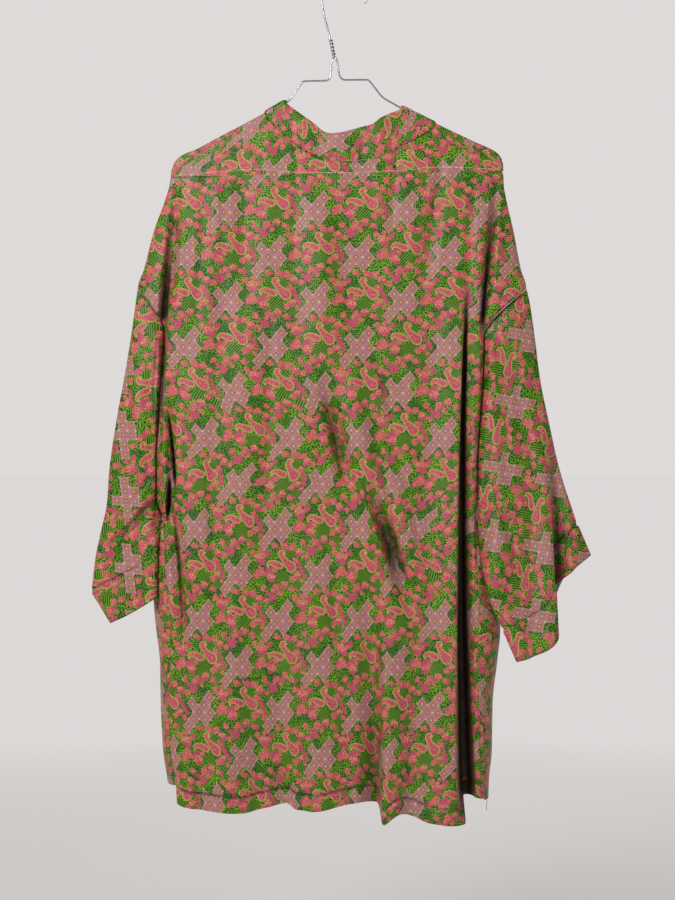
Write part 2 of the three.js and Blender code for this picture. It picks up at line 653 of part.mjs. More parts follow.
function front(name) {
  const turn = name === 'left' ? -1 : 1;
  const band = name === 'left' ? LEFT_BAND : RIGHT_BAND;
  const rowCount = frontRows(0).length;
  const grid = [];
  for (let r = 0; r < rowCount; r++) {
    const line = [];
    for (let c = 0; c <= FRONT_COLUMN_COUNT; c++) {
      const share = c / FRONT_COLUMN_COUNT;
      let x = turn * 150;
      let drop = 0;
      let face = 1;
      for (let pass = 0; pass < 3; pass++) {
        drop = frontRows(x)[r];
        const outer = side(drop, name);
        const seam = side(drop, `${name}Seam`);
        const bandSeam = read(band, 'drop', drop, 'seam') + turn * SEAM / 2;
        const width = bandSeam - outer;
        const wrap = drop > UNDERARM ? Math.sqrt(Math.max(0, (seam - outer) / width)) : 0;
        const q = mix(-wrap, 1, share);
        x = outer + width * q * q;
        face = q < 0 ? -1 : 1;
        if (drop > ARMHOLE_TOP && drop <= UNDERARM) {
          x -= turn * seamRoom(drop) * (1 - share) ** 4;
        }
        if (drop > UNDERARM && c === 0) x += turn * seamRoom(drop);
      }
      const point = bodyPoint(x, drop, face);
      const onShoulder = r === 0;
      const onOutline = c === 0 && (drop <= ARMHOLE_TOP || drop === UNDERARM);
      if (onShoulder || onOutline) point.y = SEAM / 2;
      line.push(point);
    }
    grid.push(line);
  }
  return wall(grid, CLOTH);
}

// The neckband is one strip: up the left front, round the back neck and down the right front.
function neckband() {
  const lift = (BAND - CLOTH) / 2;
  const across = [0, 0.5, 1];
  const strip = [];
  const frontStation = (band, name, r) => {
    const turn = name === 'left' ? -1 : 1;
    let x = turn * 110;
    let drop = 0;
    for (let pass = 0; pass < 4; pass++) {
      drop = frontRows(x)[r];
      x = read(band, 'drop', drop, 'seam');
    }
    const rise = read(band, 'drop', drop, 'rise');
    const edgeX = read(band, 'drop', drop, 'edge');
    const seamX = x - turn * SEAM / 2;
    const fall = drop - shoulderDrop(x);
    return across.map((t) => {
      const px = mix(seamX, edgeX, t);
      const wanted = drop - rise * t * ease(fall / BAND_TURN);
      const held = shoulderDrop(px) + fall;
      const py = mix(held, wanted, ease(fall / BAND_FALL));
      return bodyPoint(px, py, 1, lift);
    });
  };
  const rowCount = frontRows(0).length;
  for (let r = rowCount - 1; r > 0; r--) strip.push(frontStation(LEFT_BAND, 'left', r));
  NECK_STATIONS.forEach((station) => {
    strip.push(across.map((t) => {
      const x = mix(station.seamX, station.edgeX, t);
      const straight = mix(station.seamDrop, station.edgeDrop, t);
      const drop = station.bend < 0 ? straight : shoulderDrop(x) + BEND[station.bend] * SEAT;
      const point = bodyPoint(x, drop, -1, lift);
      if (station.bend === 0) point.set(x, 0, -drop + lift);
      return point;
    }));
  });
  for (let r = 1; r < rowCount; r++) strip.push(frontStation(RIGHT_BAND, 'right', r));
  return wall(strip, BAND);
}

// A point part of the way along a path, by its length
function alongPath(rows, share) {
  const lengths = [0];
  for (let k = 1; k < rows.length; k++) {
    const step = Math.hypot(rows[k].x - rows[k - 1].x, rows[k].drop - rows[k - 1].drop);
    lengths.push(lengths[k - 1] + step);
  }
  const placed = rows.map((row, k) => ({ ...row, length: lengths[k] }));
  const place = share * lengths[lengths.length - 1];
  return { x: read(placed, 'length', place, 'x'), drop: read(placed, 'length', place, 'drop') };
}

// The armhole's points with the share of its length that each lies at
function armhole(sleeve) {
  const turn = sleeve.side === 'left' ? -1 : 1;
  const points = ARMHOLE_ROWS.map((drop) => ({
    x: side(drop, sleeve.side) + turn * seamRoom(drop),
    drop,
    slit: side(drop, 'slit'),
  }));
  const total = points.reduce((sum, point, k) => {
    if (k === 0) return 0;
    point.length = sum + Math.hypot(point.x - points[k - 1].x, point.drop - points[k - 1].drop);
    return point.length;
  }, 0);
  points[0].length = 0;
  return points.map((point) => ({ ...point, share: point.length / total }));
}

// A point of a sleeve or its cuff. down runs from the armhole at 0 to the cuff at 1, and on to
// the cuff's free edge at 2.
function sleevePoint(sleeve, start, down, face) {
  const w = start.share;
  const r = Math.min(1, down);
  const top = start;
  const cuff = alongPath(sleeve.cuff, w);
  const outer = alongPath(sleeve.outer, r);
  const inner = alongPath(sleeve.inner, r);
  const first = sleeve.outer[0];
  const last = sleeve.outer[sleeve.outer.length - 1];
  const innerFirst = sleeve.inner[0];
  const innerLast = sleeve.inner[sleeve.inner.length - 1];
  const blend = (name) => {
    const ruled = mix(top[name], cuff[name], r) + mix(outer[name], inner[name], w);
    const corners = mix(mix(first[name], last[name], r), mix(innerFirst[name], innerLast[name], r), w);
    return ruled - corners;
  };
  let x = blend('x');
  let drop = blend('drop');
  if (down > 1) {
    const hem = alongPath(sleeve.hem, w);
    x = mix(x, hem.x, down - 1);
    drop = mix(drop, hem.drop, down - 1);
  }
  const ends = Math.sqrt(Math.max(0, 1 - (2 * w - 1) ** 4));
  const settled = ease(r / SLEEVE_SETTLE);
  const folds = folded(face < 0 ? sleeve.backFolds : sleeve.frontFolds, x, drop);
  const full = sleeve.depth * ends + folds.rise * ends;
  const half = mix(top.slit, full, settled);
  const centre = -sleeve.forward * w * w * ease(r / SLEEVE_SWING);
  return new THREE.Vector3(x + folds.lean * ends, centre + face * half, -drop);
}

function sleeveRing(sleeve, down) {
  const starts = armhole(sleeve);
  const lastIndex = starts.length - 1;
  const ring = starts.map((start) => sleevePoint(sleeve, start, down, -1));
  for (let k = lastIndex - 1; k > 0; k--) ring.push(sleevePoint(sleeve, starts[k], down, 1));
  return ring;
}

// Moves an end ring back from its seam.
function setBack(rings, index, neighbour, distance) {
  rings[index].forEach((point, k) => {
    const away = rings[neighbour][k].clone().sub(point);
    point.addScaledVector(away.normalize(), distance);
  });
}

// A sleeve and its cuff lean alike at the seam between them.
function sleeveAndCuff(shape) {
  const levels = [0, 0.05, 0.11, 0.2, 0.3, 0.4, 0.5, 0.6, 0.7, 0.8, 0.9, 1, 1.5, 2];
  const seam = levels.indexOf(1);
  const rings = levels.map((level) => sleeveRing(shape, level));
  const normals = gridNormals(rings, true);
  const upper = rings.slice(0, seam + 1).map((ring) => ring.map((point) => point.clone()));
  const lower = rings.slice(seam);
  setBack(upper, 0, 1, SLEEVE_SEAM * 1.5);
  setBack(upper, seam, seam - 1, SLEEVE_SEAM / 2);
  setBack(lower, 0, 1, SLEEVE_SEAM / 2);
  return {
    sleeve: wall(upper, CLOTH, true, normals.slice(0, seam + 1)),
    cuff: wall(lower, CLOTH, true, normals.slice(seam)),
  };
}

// A path whose samples keep the spacing that they are listed with
class ListedPath extends THREE.Curve {
  constructor(points) {
    super();
    this.points = points;
  }

  getPoint(t, target = new THREE.Vector3()) {
    const place = clamp01(t) * (this.points.length - 1);
    const k = Math.min(this.points.length - 2, Math.floor(place));
    return target.lerpVectors(this.points[k], this.points[k + 1], place - k);
  }

  getPointAt(u, target) {
    return this.getPoint(u, target);
  }

  getTangentAt(u, target = new THREE.Vector3()) {
    const step = 0.5 / (this.points.length - 1);
    return target.subVectors(this.getPoint(u + step), this.getPoint(u - step)).normalize();
  }
}

const wirePoint = (x, drop) => new THREE.Vector3(x, 0, -drop);

// The wire under the shoulder line, held off it by the cloth that lies between
function shoulderWire(fromX, toX, count) {
  const points = [];
  for (let k = 0; k <= count; k++) {
    const x = mix(fromX, toX, k / count);
    const slope = shoulderDrop(x + 0.5) - shoulderDrop(x - 0.5);
    const length = Math.hypot(1, slope);
    points.push(wirePoint(x - (slope * SEAT) / length, shoulderDrop(x) + SEAT / length));
  }
  return points;
}

// A round corner between three places, as an arc of short steps
function corner(before, at, after, radius, steps) {
  const start = at.clone().add(before.clone().sub(at).setLength(radius));
  const end = at.clone().add(after.clone().sub(at).setLength(radius));
  return new THREE.QuadraticBezierCurve3(start, at, end).getPoints(steps);
}

// One strand of the two that are twisted together under the hook
function twist(bottom, top, phase) {
  const radius = WIRE / 2 + STRAND_GAP;
  const axis = top.clone().sub(bottom).normalize();
  const sideways = new THREE.Vector3(0, 1, 0).cross(axis).normalize();
  const points = [];
  for (let k = 0; k <= TWIST_STEPS; k++) {
    const t = k / TWIST_STEPS;
    const angle = phase + TWIST_TURNS * 2 * Math.PI * t;
    const point = bottom.clone().lerp(top, t);
    point.addScaledVector(sideways, radius * Math.cos(angle));
    point.y += radius * Math.sin(angle);
    points.push(point);
  }
  return points;
}

function hanger() {
  const twistBottom = wirePoint(-12.4, 120.5);
  const twistTop = wirePoint(-17, 98);
  const hook = [wirePoint(28.2, 49), wirePoint(29.8, 39)];
  for (let k = 0; k <= 16; k++) {
    const angle = mix(-0.02, Math.PI + 0.12, k / 16);
    hook.push(wirePoint(HOOK_RADIUS * Math.cos(angle), HOOK_RADIUS - WIRE / 2 - HOOK_RADIUS * Math.sin(angle)));
  }
  const stem = [wirePoint(-28.6, 46), wirePoint(-26.6, 61), wirePoint(-21.8, 81), wirePoint(-18.8, 91.5)];
  const held = twist(twistBottom, twistTop, 0).reverse();
  const rightNeck = [
    wirePoint(-8.6, 127),
    wirePoint(-7.4, 136),
    ...corner(wirePoint(-7.4, 136), wirePoint(-5, 149.5), wirePoint(20, 149.5), 8, 4),
    ...corner(wirePoint(10, 149.5), wirePoint(32, 149.2), wirePoint(49, 170.5), 4, 3),
    ...corner(wirePoint(32, 149.2), wirePoint(50, 172.5), wirePoint(76, 186.5), 5, 3),
  ];
  const rightShoulder = shoulderWire(82, 203.6, 22);
  const endRight = [
    wirePoint(202.2, 262),
    wirePoint(199, BAR_DROP - 2.5),
    wirePoint(191, BAR_DROP),
  ];
  const endLeft = [
    wirePoint(-208, BAR_DROP),
    wirePoint(-218, BAR_DROP - 2.5),
    wirePoint(-221.6, 266),
  ];
  const leftShoulder = shoulderWire(-222.2, -73, 24);
  const leftNeck = [
    ...corner(wirePoint(-76, 179), wirePoint(-69.5, 174.5), wirePoint(-54, 151), 3, 3),
    ...corner(wirePoint(-69.5, 174.5), wirePoint(-53.5, 151), wirePoint(-30, 151), 4, 3),
    ...corner(wirePoint(-50, 151), wirePoint(-17.6, 150.4), wirePoint(-16.8, 138), 8, 4),
    wirePoint(-16.6, 136),
    wirePoint(-16.2, 128),
  ];
  const wound = twist(twistBottom, twistTop, Math.PI);
  const points = [
    ...hook, ...stem, ...held, ...rightNeck, ...rightShoulder, ...endRight,
    ...endLeft, ...leftShoulder, ...leftNeck, ...wound,
  ];
  const section = new THREE.Shape();
  const sides = 6;
  for (let k = 0; k < sides; k++) {
    const angle = (k / sides) * 2 * Math.PI;
    const method = k === 0 ? 'moveTo' : 'lineTo';
    section[method]((WIRE / 2) * Math.cos(angle), (WIRE / 2) * Math.sin(angle));
  }
  section.closePath();
  const swept = new THREE.ExtrudeGeometry(section, {
    steps: points.length - 1,
    extrudePath: new ListedPath(points),
    bevelEnabled: false,
  });
  swept.deleteAttribute('normal');
  swept.deleteAttribute('uv');
  return outward(mergeVertices(swept, 1e-4));
}

const silk = { color: 0x8c7350, roughness: 0.42, metalness: 0 };
const steel = { color: 0xb9b6bc, roughness: 0.3, metalness: 1 };

const jacket = new THREE.Group();

function add(name, geometry, finish) {
  const mesh = new THREE.Mesh(geometry, new THREE.MeshStandardMaterial(finish));
  mesh.name = name;
  jacket.add(mesh);
}

const backs = backPanels();
const leftArm = sleeveAndCuff(LEFT_SLEEVE);
const rightArm = sleeveAndCuff(RIGHT_SLEEVE);

add('back_yoke', backs.yoke, silk);
add('back', backs.back, silk);
add('front_left', front('left'), silk);
add('front_right', front('right'), silk);
add('neckband', neckband(), silk);
add('sleeve_left', leftArm.sleeve, silk);
add('sleeve_right', rightArm.sleeve, silk);
add('cuff_left', leftArm.cuff, silk);
add('cuff_right', rightArm.cuff, silk);
add('hanger', hanger(), steel);

export default jacket;
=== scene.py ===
"""A short silk kimono jacket on a bent wire hanger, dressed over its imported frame.

Sizes in the tables are millimetres. Heights are given as a drop, the distance below the origin,
which lies inside the top of the hanger's hook. Meshes are built in metres.
"""

from __future__ import annotations

import logging
import math
from collections.abc import Sequence
from dataclasses import dataclass, field
from enum import Enum
from typing import NamedTuple

import bpy
import numpy as np
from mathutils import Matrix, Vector


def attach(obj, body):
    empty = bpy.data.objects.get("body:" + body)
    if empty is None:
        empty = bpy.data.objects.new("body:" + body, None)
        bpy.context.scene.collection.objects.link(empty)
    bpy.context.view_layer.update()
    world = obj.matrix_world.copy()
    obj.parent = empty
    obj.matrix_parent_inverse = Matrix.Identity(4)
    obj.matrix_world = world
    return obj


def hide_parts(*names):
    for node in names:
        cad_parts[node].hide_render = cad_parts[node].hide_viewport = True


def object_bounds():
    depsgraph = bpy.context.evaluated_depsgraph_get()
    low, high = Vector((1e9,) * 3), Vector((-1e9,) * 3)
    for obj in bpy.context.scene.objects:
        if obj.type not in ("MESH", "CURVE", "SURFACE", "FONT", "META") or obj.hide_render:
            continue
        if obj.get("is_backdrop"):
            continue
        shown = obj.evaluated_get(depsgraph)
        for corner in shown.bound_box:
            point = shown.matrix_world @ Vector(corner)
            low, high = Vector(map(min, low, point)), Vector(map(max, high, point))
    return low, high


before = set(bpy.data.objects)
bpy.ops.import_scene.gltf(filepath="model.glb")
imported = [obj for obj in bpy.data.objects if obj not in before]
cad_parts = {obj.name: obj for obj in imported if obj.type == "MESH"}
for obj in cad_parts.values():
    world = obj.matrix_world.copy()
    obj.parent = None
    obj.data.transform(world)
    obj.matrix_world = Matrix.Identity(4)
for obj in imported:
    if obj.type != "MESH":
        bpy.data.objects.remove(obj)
CAD_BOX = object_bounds()

LOG = logging.getLogger("kimono")
MM = 0.001
WIRE = 2.6
CLOTH = 1.4
BAND = 2.2
SHELL = 0.5
SEAM_GAP = 0.06
SLOT_FLOOR = 1.4
# The numbers from here to SEAM_SHADE set the painted shade that darkens the silk's colour in folds,
# creases and along the seams of tubes.
FOLD_LIGHT = 0.52
FOLD_REACH = 45
LEAST_RUN = 0.4
BEND_REACHES = (1, 2, 3)
BEND_SHADE = 0.8
BEND_LIMIT = 0.55
TUBE_SHADE = 0.5
SEAM_SHADE = 0.7
WIRE_CLEARANCE = 0.45
HOOK_RADIUS = 30.0
BAR_DROP = 273.0
ARMHOLE_TOP = 420.0
UNDERARM = 721.0
FRONT_HEM = 1062.0
BACK_HEM = 1086.0
SIDE_HEM_FALL = 20.0
YOKE_SEAM = 272.0
YOKE_SLOPE = 0.02
WIRE_WRAP = (0, 0.28, 1, 3.6)
SEAT = WIRE / 2 + WIRE_CLEARANCE + CLOTH / 2


class Camera:
    """The photograph's view: level, square to the jacket's back."""

    PIXELS_HIGH = 900
    MM_PER_PIXEL = 1.3
    CENTRE_X = -8.45
    CENTRE_DROP = 630.5
    DISTANCE = 2600.0
    SENSOR = 36.0

    def build(self) -> bpy.types.Object:
        """Make the camera and set it as the scene's.

        Returns:
            The camera object.
        """
        data = bpy.data.cameras.new("photo_camera")
        data.sensor_width = self.SENSOR
        data.lens = self.SENSOR * self.DISTANCE / (self.PIXELS_HIGH * self.MM_PER_PIXEL)
        data.clip_start = 0.05
        data.clip_end = 60.0
        camera = bpy.data.objects.new("photo_camera", data)
        camera.location = (self.CENTRE_X * MM, -self.DISTANCE * MM, -self.CENTRE_DROP * MM)
        camera.rotation_euler = (math.radians(90.0), 0.0, 0.0)
        bpy.context.scene.collection.objects.link(camera)
        bpy.context.scene.camera = camera
        return camera


class Face(Enum):
    """Which side of the hanger's plane a panel hangs on."""

    BACK = -1
    FRONT = 1


class Fold(NamedTuple):
    """A ridge, or a trough where rise is below 0, that runs down a panel."""

    name: str
    start: float
    end: float
    x0: float
    x1: float
    bow: float
    width0: float
    width1: float
    rise: tuple[float, float, float]
    lean0: float = 0.0
    lean1: float = 0.0


class Track:
    """A smooth run of one value along another, with no overshoot."""

    def __init__(self, places: Sequence[float], values: Sequence[float]) -> None:
        """Keep the places, which rise, the values there and a slope for each."""
        self.places = np.asarray(places, float)
        self.values = np.asarray(values, float)
        steps = np.diff(self.places)
        slopes = np.diff(self.values) / steps
        tangents = np.empty_like(self.values)
        tangents[0] = slopes[0]
        tangents[-1] = slopes[-1]
        product = slopes[:-1] * slopes[1:]
        total = np.where(product > 0, slopes[:-1] + slopes[1:], 1.0)
        tangents[1:-1] = np.where(product > 0, 2 * product / total, 0.0)
        self.tangents = tangents

    def __call__(self, at: np.ndarray | float) -> np.ndarray:
        """Return the value at each place asked for, held level past both ends."""
        at = np.clip(at, self.places[0], self.places[-1])
        i = np.clip(np.searchsorted(self.places, at, side="right") - 1, 0, len(self.places) - 2)
        j = i + 1
        h = self.places[j] - self.places[i]
        t = (at - self.places[i]) / h
        low = (2 * t**3 - 3 * t * t + 1) * self.values[i]
        low = low + (t**3 - 2 * t * t + t) * h * self.tangents[i]
        high = (3 * t * t - 2 * t**3) * self.values[j] + (t**3 - t * t) * h * self.tangents[j]
        return low + high


def tracks_of(places: Sequence[float], rows: Sequence[NamedTuple]) -> dict[str, Track]:
    """Return one track for each column of a table, with its rows at the places given."""
    return {name: Track(places, [getattr(row, name) for row in rows]) for name in rows[0]._fields}


def columns(rows: Sequence[NamedTuple], along: str) -> dict[str, Track]:
    """Return one track for each column of a table, read along one of its columns."""
    return tracks_of([getattr(row, along) for row in rows], rows)


def rows_of(kind: type, *rows: tuple[float, ...]) -> tuple:
    """Return a table's rows, each as the kind of row given."""
    return tuple(kind(*row) for row in rows)


class Slot(NamedTuple):
    """A deep narrow gap between two laps of the back, with half-widths and fades at its ends."""

    name: str
    start: float
    end: float
    x0: float
    x1: float
    bow: float
    widths: tuple[float, float, float]
    fades: tuple[float, float]
    share: float


class Tuck(NamedTuple):
    """A small crease that lies across the cloth."""

    x0: float
    x1: float
    drop0: float
    drop1: float
    rise: float


class ShoulderRow(NamedTuple):
    """A point of the line that the cloth takes over the wire."""

    x: float
    drop: float


class SideRow(NamedTuple):
    """The body's outline at one height, and where its side seams lie on the back."""

    drop: float
    left: float
    right: float
    slit: float
    left_seam: float
    right_seam: float


class DepthRow(NamedTuple):
    """How far the back and the fronts stand from the hanger's plane at one height."""

    drop: float
    back: float
    front: float


class HemRow(NamedTuple):
    """How far the back's lower edge hangs below its nominal height."""

    x: float
    lower: float


class NeckRow(NamedTuple):
    """A seam point of the neckband at the back, and the edge point above it."""

    seam_x: float
    seam_drop: float
    edge_x: float
    edge_drop: float


class BandRow(NamedTuple):
    """The neckband's seam and free edge at one height of a front."""

    drop: float
    seam: float
    edge: float
    rise: float


SHOULDER = rows_of(
    ShoulderRow,
    (-225, 268), (-220.5, 256), (-209, 246), (-193, 239.5), (-166, 225), (-123, 202.5), (-72, 174),
    (-34, 153), (5, 140), (44, 157), (75, 183.5), (123, 207), (168, 228.5), (195, 241),
    (204.5, 250), (207, 262),
)

SIDES = rows_of(
    SideRow,
    *(
        (*row, *row[1:3])
        for row in (
            (120, -225, 206, 0), (268, -225, 206, 0), (280, -226, 207, 0), (303, -232, 211, 0),
            (348, -248, 221, 0), (395, -260, 230, 0), (420, -268, 237, 0), (434, -258, 222, 6),
            (449, -247, 205, 9), (464, -237, 191, 9), (479, -234, 182, 8), (540, -238, 180, 8),
            (582, -241, 177, 8), (647, -243, 173, 8), (692, -243, 173, 5), (721, -236, 173, 0),
        )
    ),
    (733, -243, 176, 0, -233, 172), (745, -247, 178, 0, -232, 171), (790, -249, 187, 0, -230, 173),
    (815, -248, 194, 0, -228, 175), (863, -244, 203, 0, -223, 173), (905, -239, 199, 0, -224, 172),
    (959, -238, 193, 0, -226, 174), (1020, -235, 192, 0, -224, 177),
    (1062, -229, 188, 0, -217, 181), (1115, -226, 187, 0, -214, 182),
)

DEPTHS = rows_of(
    DepthRow,
    (140, 8, 8), (265, 13, 12), (360, 18, 16), (460, 23, 19), (600, 28, 23), (800, 33, 27),
    (960, 37, 31), (1115, 41, 35),
)

HEM = rows_of(
    HemRow,
    (-229, -13), (-221, -5), (-206, 3), (-157, 8), (-130, 9), (-101, 3), (-77, -2), (-62, 5),
    (-40, 7), (-2, 0), (24, -4), (36, -3), (48, 14), (59, 23), (79, 10), (107, 21), (132, 24),
    (148, 15), (163, -9), (184, -5),
)

BACK_FOLDS = (
    Fold("left shoulder crease", 264, 470, -217, -229, 3, 7, 13, (-4, -13, 0)),
    Fold("right shoulder crease", 258, 470, 203, 181, -3, 7, 13, (-4, -13, 0)),
    Fold("left underarm crease", 530, 721, -229, -225, 4, 9, 9, (0, -10, -6)),
    Fold("left drag line", 715, 900, -224, -203, 3, 11, 14, (-6, -6, 0), 3, 0),
    Fold("right side lap", 390, 1130, 151, 134, -8, 26, 26, (0, 9, 10), 0, 12),
    Fold("right side hollow", 390, 1130, 168, 158, -9, 14, 20, (0, -20, -24), 0, -8),
    Fold("right yoke crease", 252, 430, 127, 94, 4, 8, 22, (-3, -6, 0)),
    Fold("upper slanting crease", 530, 690, -24, 10, -4, 13, 17, (0, -12, 0)),
    Fold("bright slanting ridge", 520, 800, 4, 50, 3, 20, 26, (0, 10, 0)),
    Fold("lower slanting crease", 630, 840, 14, 88, 3, 13, 17, (0, -15, 0)),
    Fold("middle lower lap", 760, 1130, 60, 66, 2, 24, 30, (0, 8, 11), 0, -10),
    Fold("middle lower hollow", 760, 1130, 30, 36, 2, 18, 22, (0, -10, -16), 0, 6),
    Fold("left middle ridge", 310, 1130, -130, -150, 8, 34, 40, (0, 4, 9)),
    Fold("hem notch trough", 840, 1130, -92, -76, 2, 18, 20, (0, -6, -12), 0, 3),
    Fold("centre hem ridge", 720, 1130, -34, -30, 4, 26, 32, (0, 4, 9)),
    Fold("upper left trough", 278, 450, -132, -128, 2, 16, 24, (-2, -5, 0)),
    Fold("upper middle ridge", 278, 540, -38, -20, 2, 30, 40, (0, 6, 0)),
    Fold("right hem ridge", 880, 1130, 108, 112, 0, 20, 24, (0, 3, 7)),
)

FINE_BACK_FOLDS = (
    Fold("yoke crease below the neck's left", 238, 420, -62, -70, 3, 5, 12, (-1.2, -1.6, 0)),
    Fold("yoke crease below the neck's right", 240, 400, 70, 62, -4, 5, 12, (-1.4, -1.4, 0)),
    Fold("left shoulder drag", 262, 520, -182, -196, 4, 7, 14, (-1.6, -2.6, 0)),
    Fold("left shoulder drag beside it", 270, 470, -165, -171, 3, 6, 10, (1.2, 1.6, 0)),
    Fold("right shoulder drag", 262, 520, 172, 158, -4, 7, 14, (-1.8, -2.4, 0)),
    Fold("right edge of the upper slant", 560, 700, 4, 34, -5, 6, 9, (0, -3, 0)),
    Fold("sharp pocket above the lower slant", 690, 800, 40, 70, 2, 7, 8, (0, -2, 0), 0, 3),
    Fold("sharp ridge on the lower slant", 700, 860, 58, 96, 3, 6, 9, (0, 3.5, 0)),
    Fold("left middle drag", 420, 760, -96, -108, 5, 9, 13, (0, -2.4, 0)),
    Fold("left lower drag", 560, 900, -168, -158, -6, 8, 12, (0, -2.8, 0)),
    Fold("middle drag", 700, 1000, -22, -8, 4, 9, 12, (0, -2.2, 0)),
    Fold("left hem flute", 900, 1130, -182, -186, 2, 9, 13, (0, -2, -5)),
    Fold("left hem flute beside it", 930, 1130, -118, -112, 2, 9, 13, (0, -1.5, -4)),
    Fold("centre hem flute", 920, 1130, -54, -52, 2, 7, 10, (0, -1.5, -4)),
    Fold("middle hem flute", 960, 1130, 2, 4, 1, 8, 11, (0, -1, -4)),
    Fold("lap hem flute", 960, 1130, 84, 82, 1, 7, 10, (0, -1.5, -5)),
    Fold("right lap flute", 880, 1130, 122, 124, 1, 6, 9, (0, 1, 3)),
    Fold("right strip crease", 470, 900, 171, 168, 2, 3, 5, (0, -2.5, 0)),
    Fold("edge of the right lap", 430, 1135, 150, 141, -5, 7, 9, (0, 5, 5), 3, 6),
    Fold("edge of the left drag line", 690, 900, -216, -197, 3, 5, 7, (2, 3, 0), -3, 0),
    Fold("shadow of the left drag line", 690, 900, -224, -206, 3, 3, 4, (-3, -4, 0)),
    Fold("short slant high on the right", 505, 595, 38, 64, 0, 5, 7, (0, -5, 0)),
    Fold("narrow core of the upper slant", 560, 675, -22, 4, -2, 5, 7, (0, -5, 0)),
    Fold("narrow core of the lower slant", 640, 815, 12, 74, 0, 5, 7, (0, -7, 0)),
    Fold("bright ridge over the lower slant", 560, 830, -8, 62, 4, 9, 14, (0, 7, 0)),
    Fold("soft lap right of the lower slant", 600, 860, 44, 108, 4, 12, 18, (0, 5, 0)),
)

SLOTS = (
    Slot("left shoulder slot", 276, 650, -217, -240, -5, (2.5, 7, 5.5), (0.4, 0.25), 1.0),
    Slot("crease beside the underarm", 572, 690, -229, -217, 2, (1.6, 2.4, 2.6), (0.3, 0.3), 0.75),
    Slot("underarm wedge", 660, 728, -225, -228, 0, (2, 3.6, 2.6), (0.4, 0.4), 0.95),
    Slot("right shoulder slot", 270, 500, 203, 177, -3, (2.2, 3.4, 5), (0.5, 0.3), 0.95),
    Slot("slot beside the right lap", 395, 1120, 160, 159, -8, (3.5, 6.5, 15), (0.22, 0.08), 1.0),
    Slot("pocket at the end of the lower slant", 700, 792, 38, 70, 0, (2, 2.8, 3), (0.5, 0.35), 0.35),
)

TUCKS = (
    Tuck(-152, -66, 926, 918, 2.0),
    Tuck(47, 104, 982, 990, 2.0),
    Tuck(-60, 20, 1012, 1006, 1.0),
    Tuck(-212, -168, 958, 950, 1.2),
)

FRONT_FOLDS = (
    Fold("left shoulder crease", 264, 470, -215, -227, 3, 8, 14, (-3, -10, 0)),
    Fold("right shoulder crease", 258, 470, 201, 179, -3, 8, 14, (-3, -10, 0)),
    Fold("left outer ridge", 345, 1110, -180, -194, -6, 20, 28, (0, 8, 12), 0, -6),
    Fold("left outer trough", 395, 1110, -148, -154, -4, 18, 24, (0, -9, -12)),
    Fold("left inner ridge", 315, 1110, -114, -110, 4, 22, 28, (0, 6, 10), 0, 5),
    Fold("left edge trough", 535, 1110, -78, -75, 2, 16, 20, (0, -4, -7)),
    Fold("right inner ridge", 315, 1110, 118, 104, 4, 22, 30, (0, 7, 10), 0, -4),
    Fold("right middle trough", 435, 1110, 142, 134, 3, 16, 20, (0, -8, -12)),
    Fold("right outer ridge", 375, 1110, 158, 160, 3, 18, 24, (0, 7, 11), 0, 5),
)

FINE_FRONT_FOLDS = (
    Fold("left shoulder drag", 250, 520, -170, -186, 4, 7, 14, (-1.4, -2.4, 0)),
    Fold("right shoulder drag", 250, 500, 160, 150, -4, 7, 14, (-1.4, -2.2, 0)),
    Fold("left waist drag", 560, 860, -132, -146, 4, 7, 11, (0, -3, 0)),
    Fold("left hem flute", 900, 1110, -128, -132, 2, 8, 11, (0, -2, -5)),
    Fold("left outer flute", 900, 1110, -212, -210, 2, 8, 11, (0, -1, -4)),
    Fold("right waist drag", 600, 880, 96, 108, 4, 7, 11, (0, -3, 0)),
    Fold("right hem flute", 900, 1110, 118, 120, 2, 7, 10, (0, -2, -5)),
)

BACK_NECK = rows_of(
    NeckRow,
    (-103, 0, -76, 0), (-90, 209, -60, 190), (-75, 223.5, -43, 203), (-58, 236, -29, 216),
    (-42, 245.5, -18, 220.5), (-24, 252.5, -6, 219.5), (1, 256, 7, 216.5), (32, 254, 22, 212),
    (53, 246.5, 36, 208.5), (73, 236, 46, 201), (92, 226.5, 58, 194), (108, 214, 68, 189),
    (119, 0, 75, 0),
)

LEFT_BAND = rows_of(
    BandRow,
    (140, -103, -76, 18), (192, -103, -76, 18), (212, -101, -67, 14), (242, -99, -57, 8),
    (305, -96, -51, 3), (400, -89, -44, 0), (565, -77, -32, 0), (760, -69, -24, 0),
    (900, -65, -20, 0), (1115, -62, -17, 0),
)

RIGHT_BAND = rows_of(
    BandRow,
    (140, 119, 75, 20), (206, 119, 75, 20), (226, 116, 70, 16), (252, 112, 64, 9),
    (305, 106, 58, 4), (400, 98, 52, 0), (565, 86, 42, 0), (760, 78, 33, 0), (900, 74, 29, 0),
    (1115, 72, 27, 0),
)

BANDS = {"left": LEFT_BAND, "right": RIGHT_BAND}


def ease(t: np.ndarray | float) -> np.ndarray:
    """Return a smooth step from 0 to 1."""
    t = np.clip(t, 0.0, 1.0)
    return t * t * (3 - 2 * t)


def mix(a: np.ndarray | float, b: np.ndarray | float, t: np.ndarray | float) -> np.ndarray:
    """Return the value part of the way from a to b."""
    return a + (b - a) * t


def bowed(line: Fold | Slot, t: np.ndarray) -> np.ndarray:
    """Return how far across a bowed line runs at a share of its height."""
    return mix(line.x0, line.x1, t) + line.bow * 4 * t * (1 - t)


def through(values: tuple[float, float, float], t: np.ndarray) -> np.ndarray:
    """Return the curve that takes three values at the start, the middle and the end."""
    first, half, last = values
    return first * (1 - t) * (1 - 2 * t) + half * 4 * t * (1 - t) + last * t * (2 * t - 1)


def bell(t: np.ndarray) -> np.ndarray:
    """Return a bell curve, 1 in its middle."""
    return np.exp(-(t**2))


def side_sign(side: str) -> int:
    """Return which way a side lies along x."""
    return -1 if side == "left" else 1


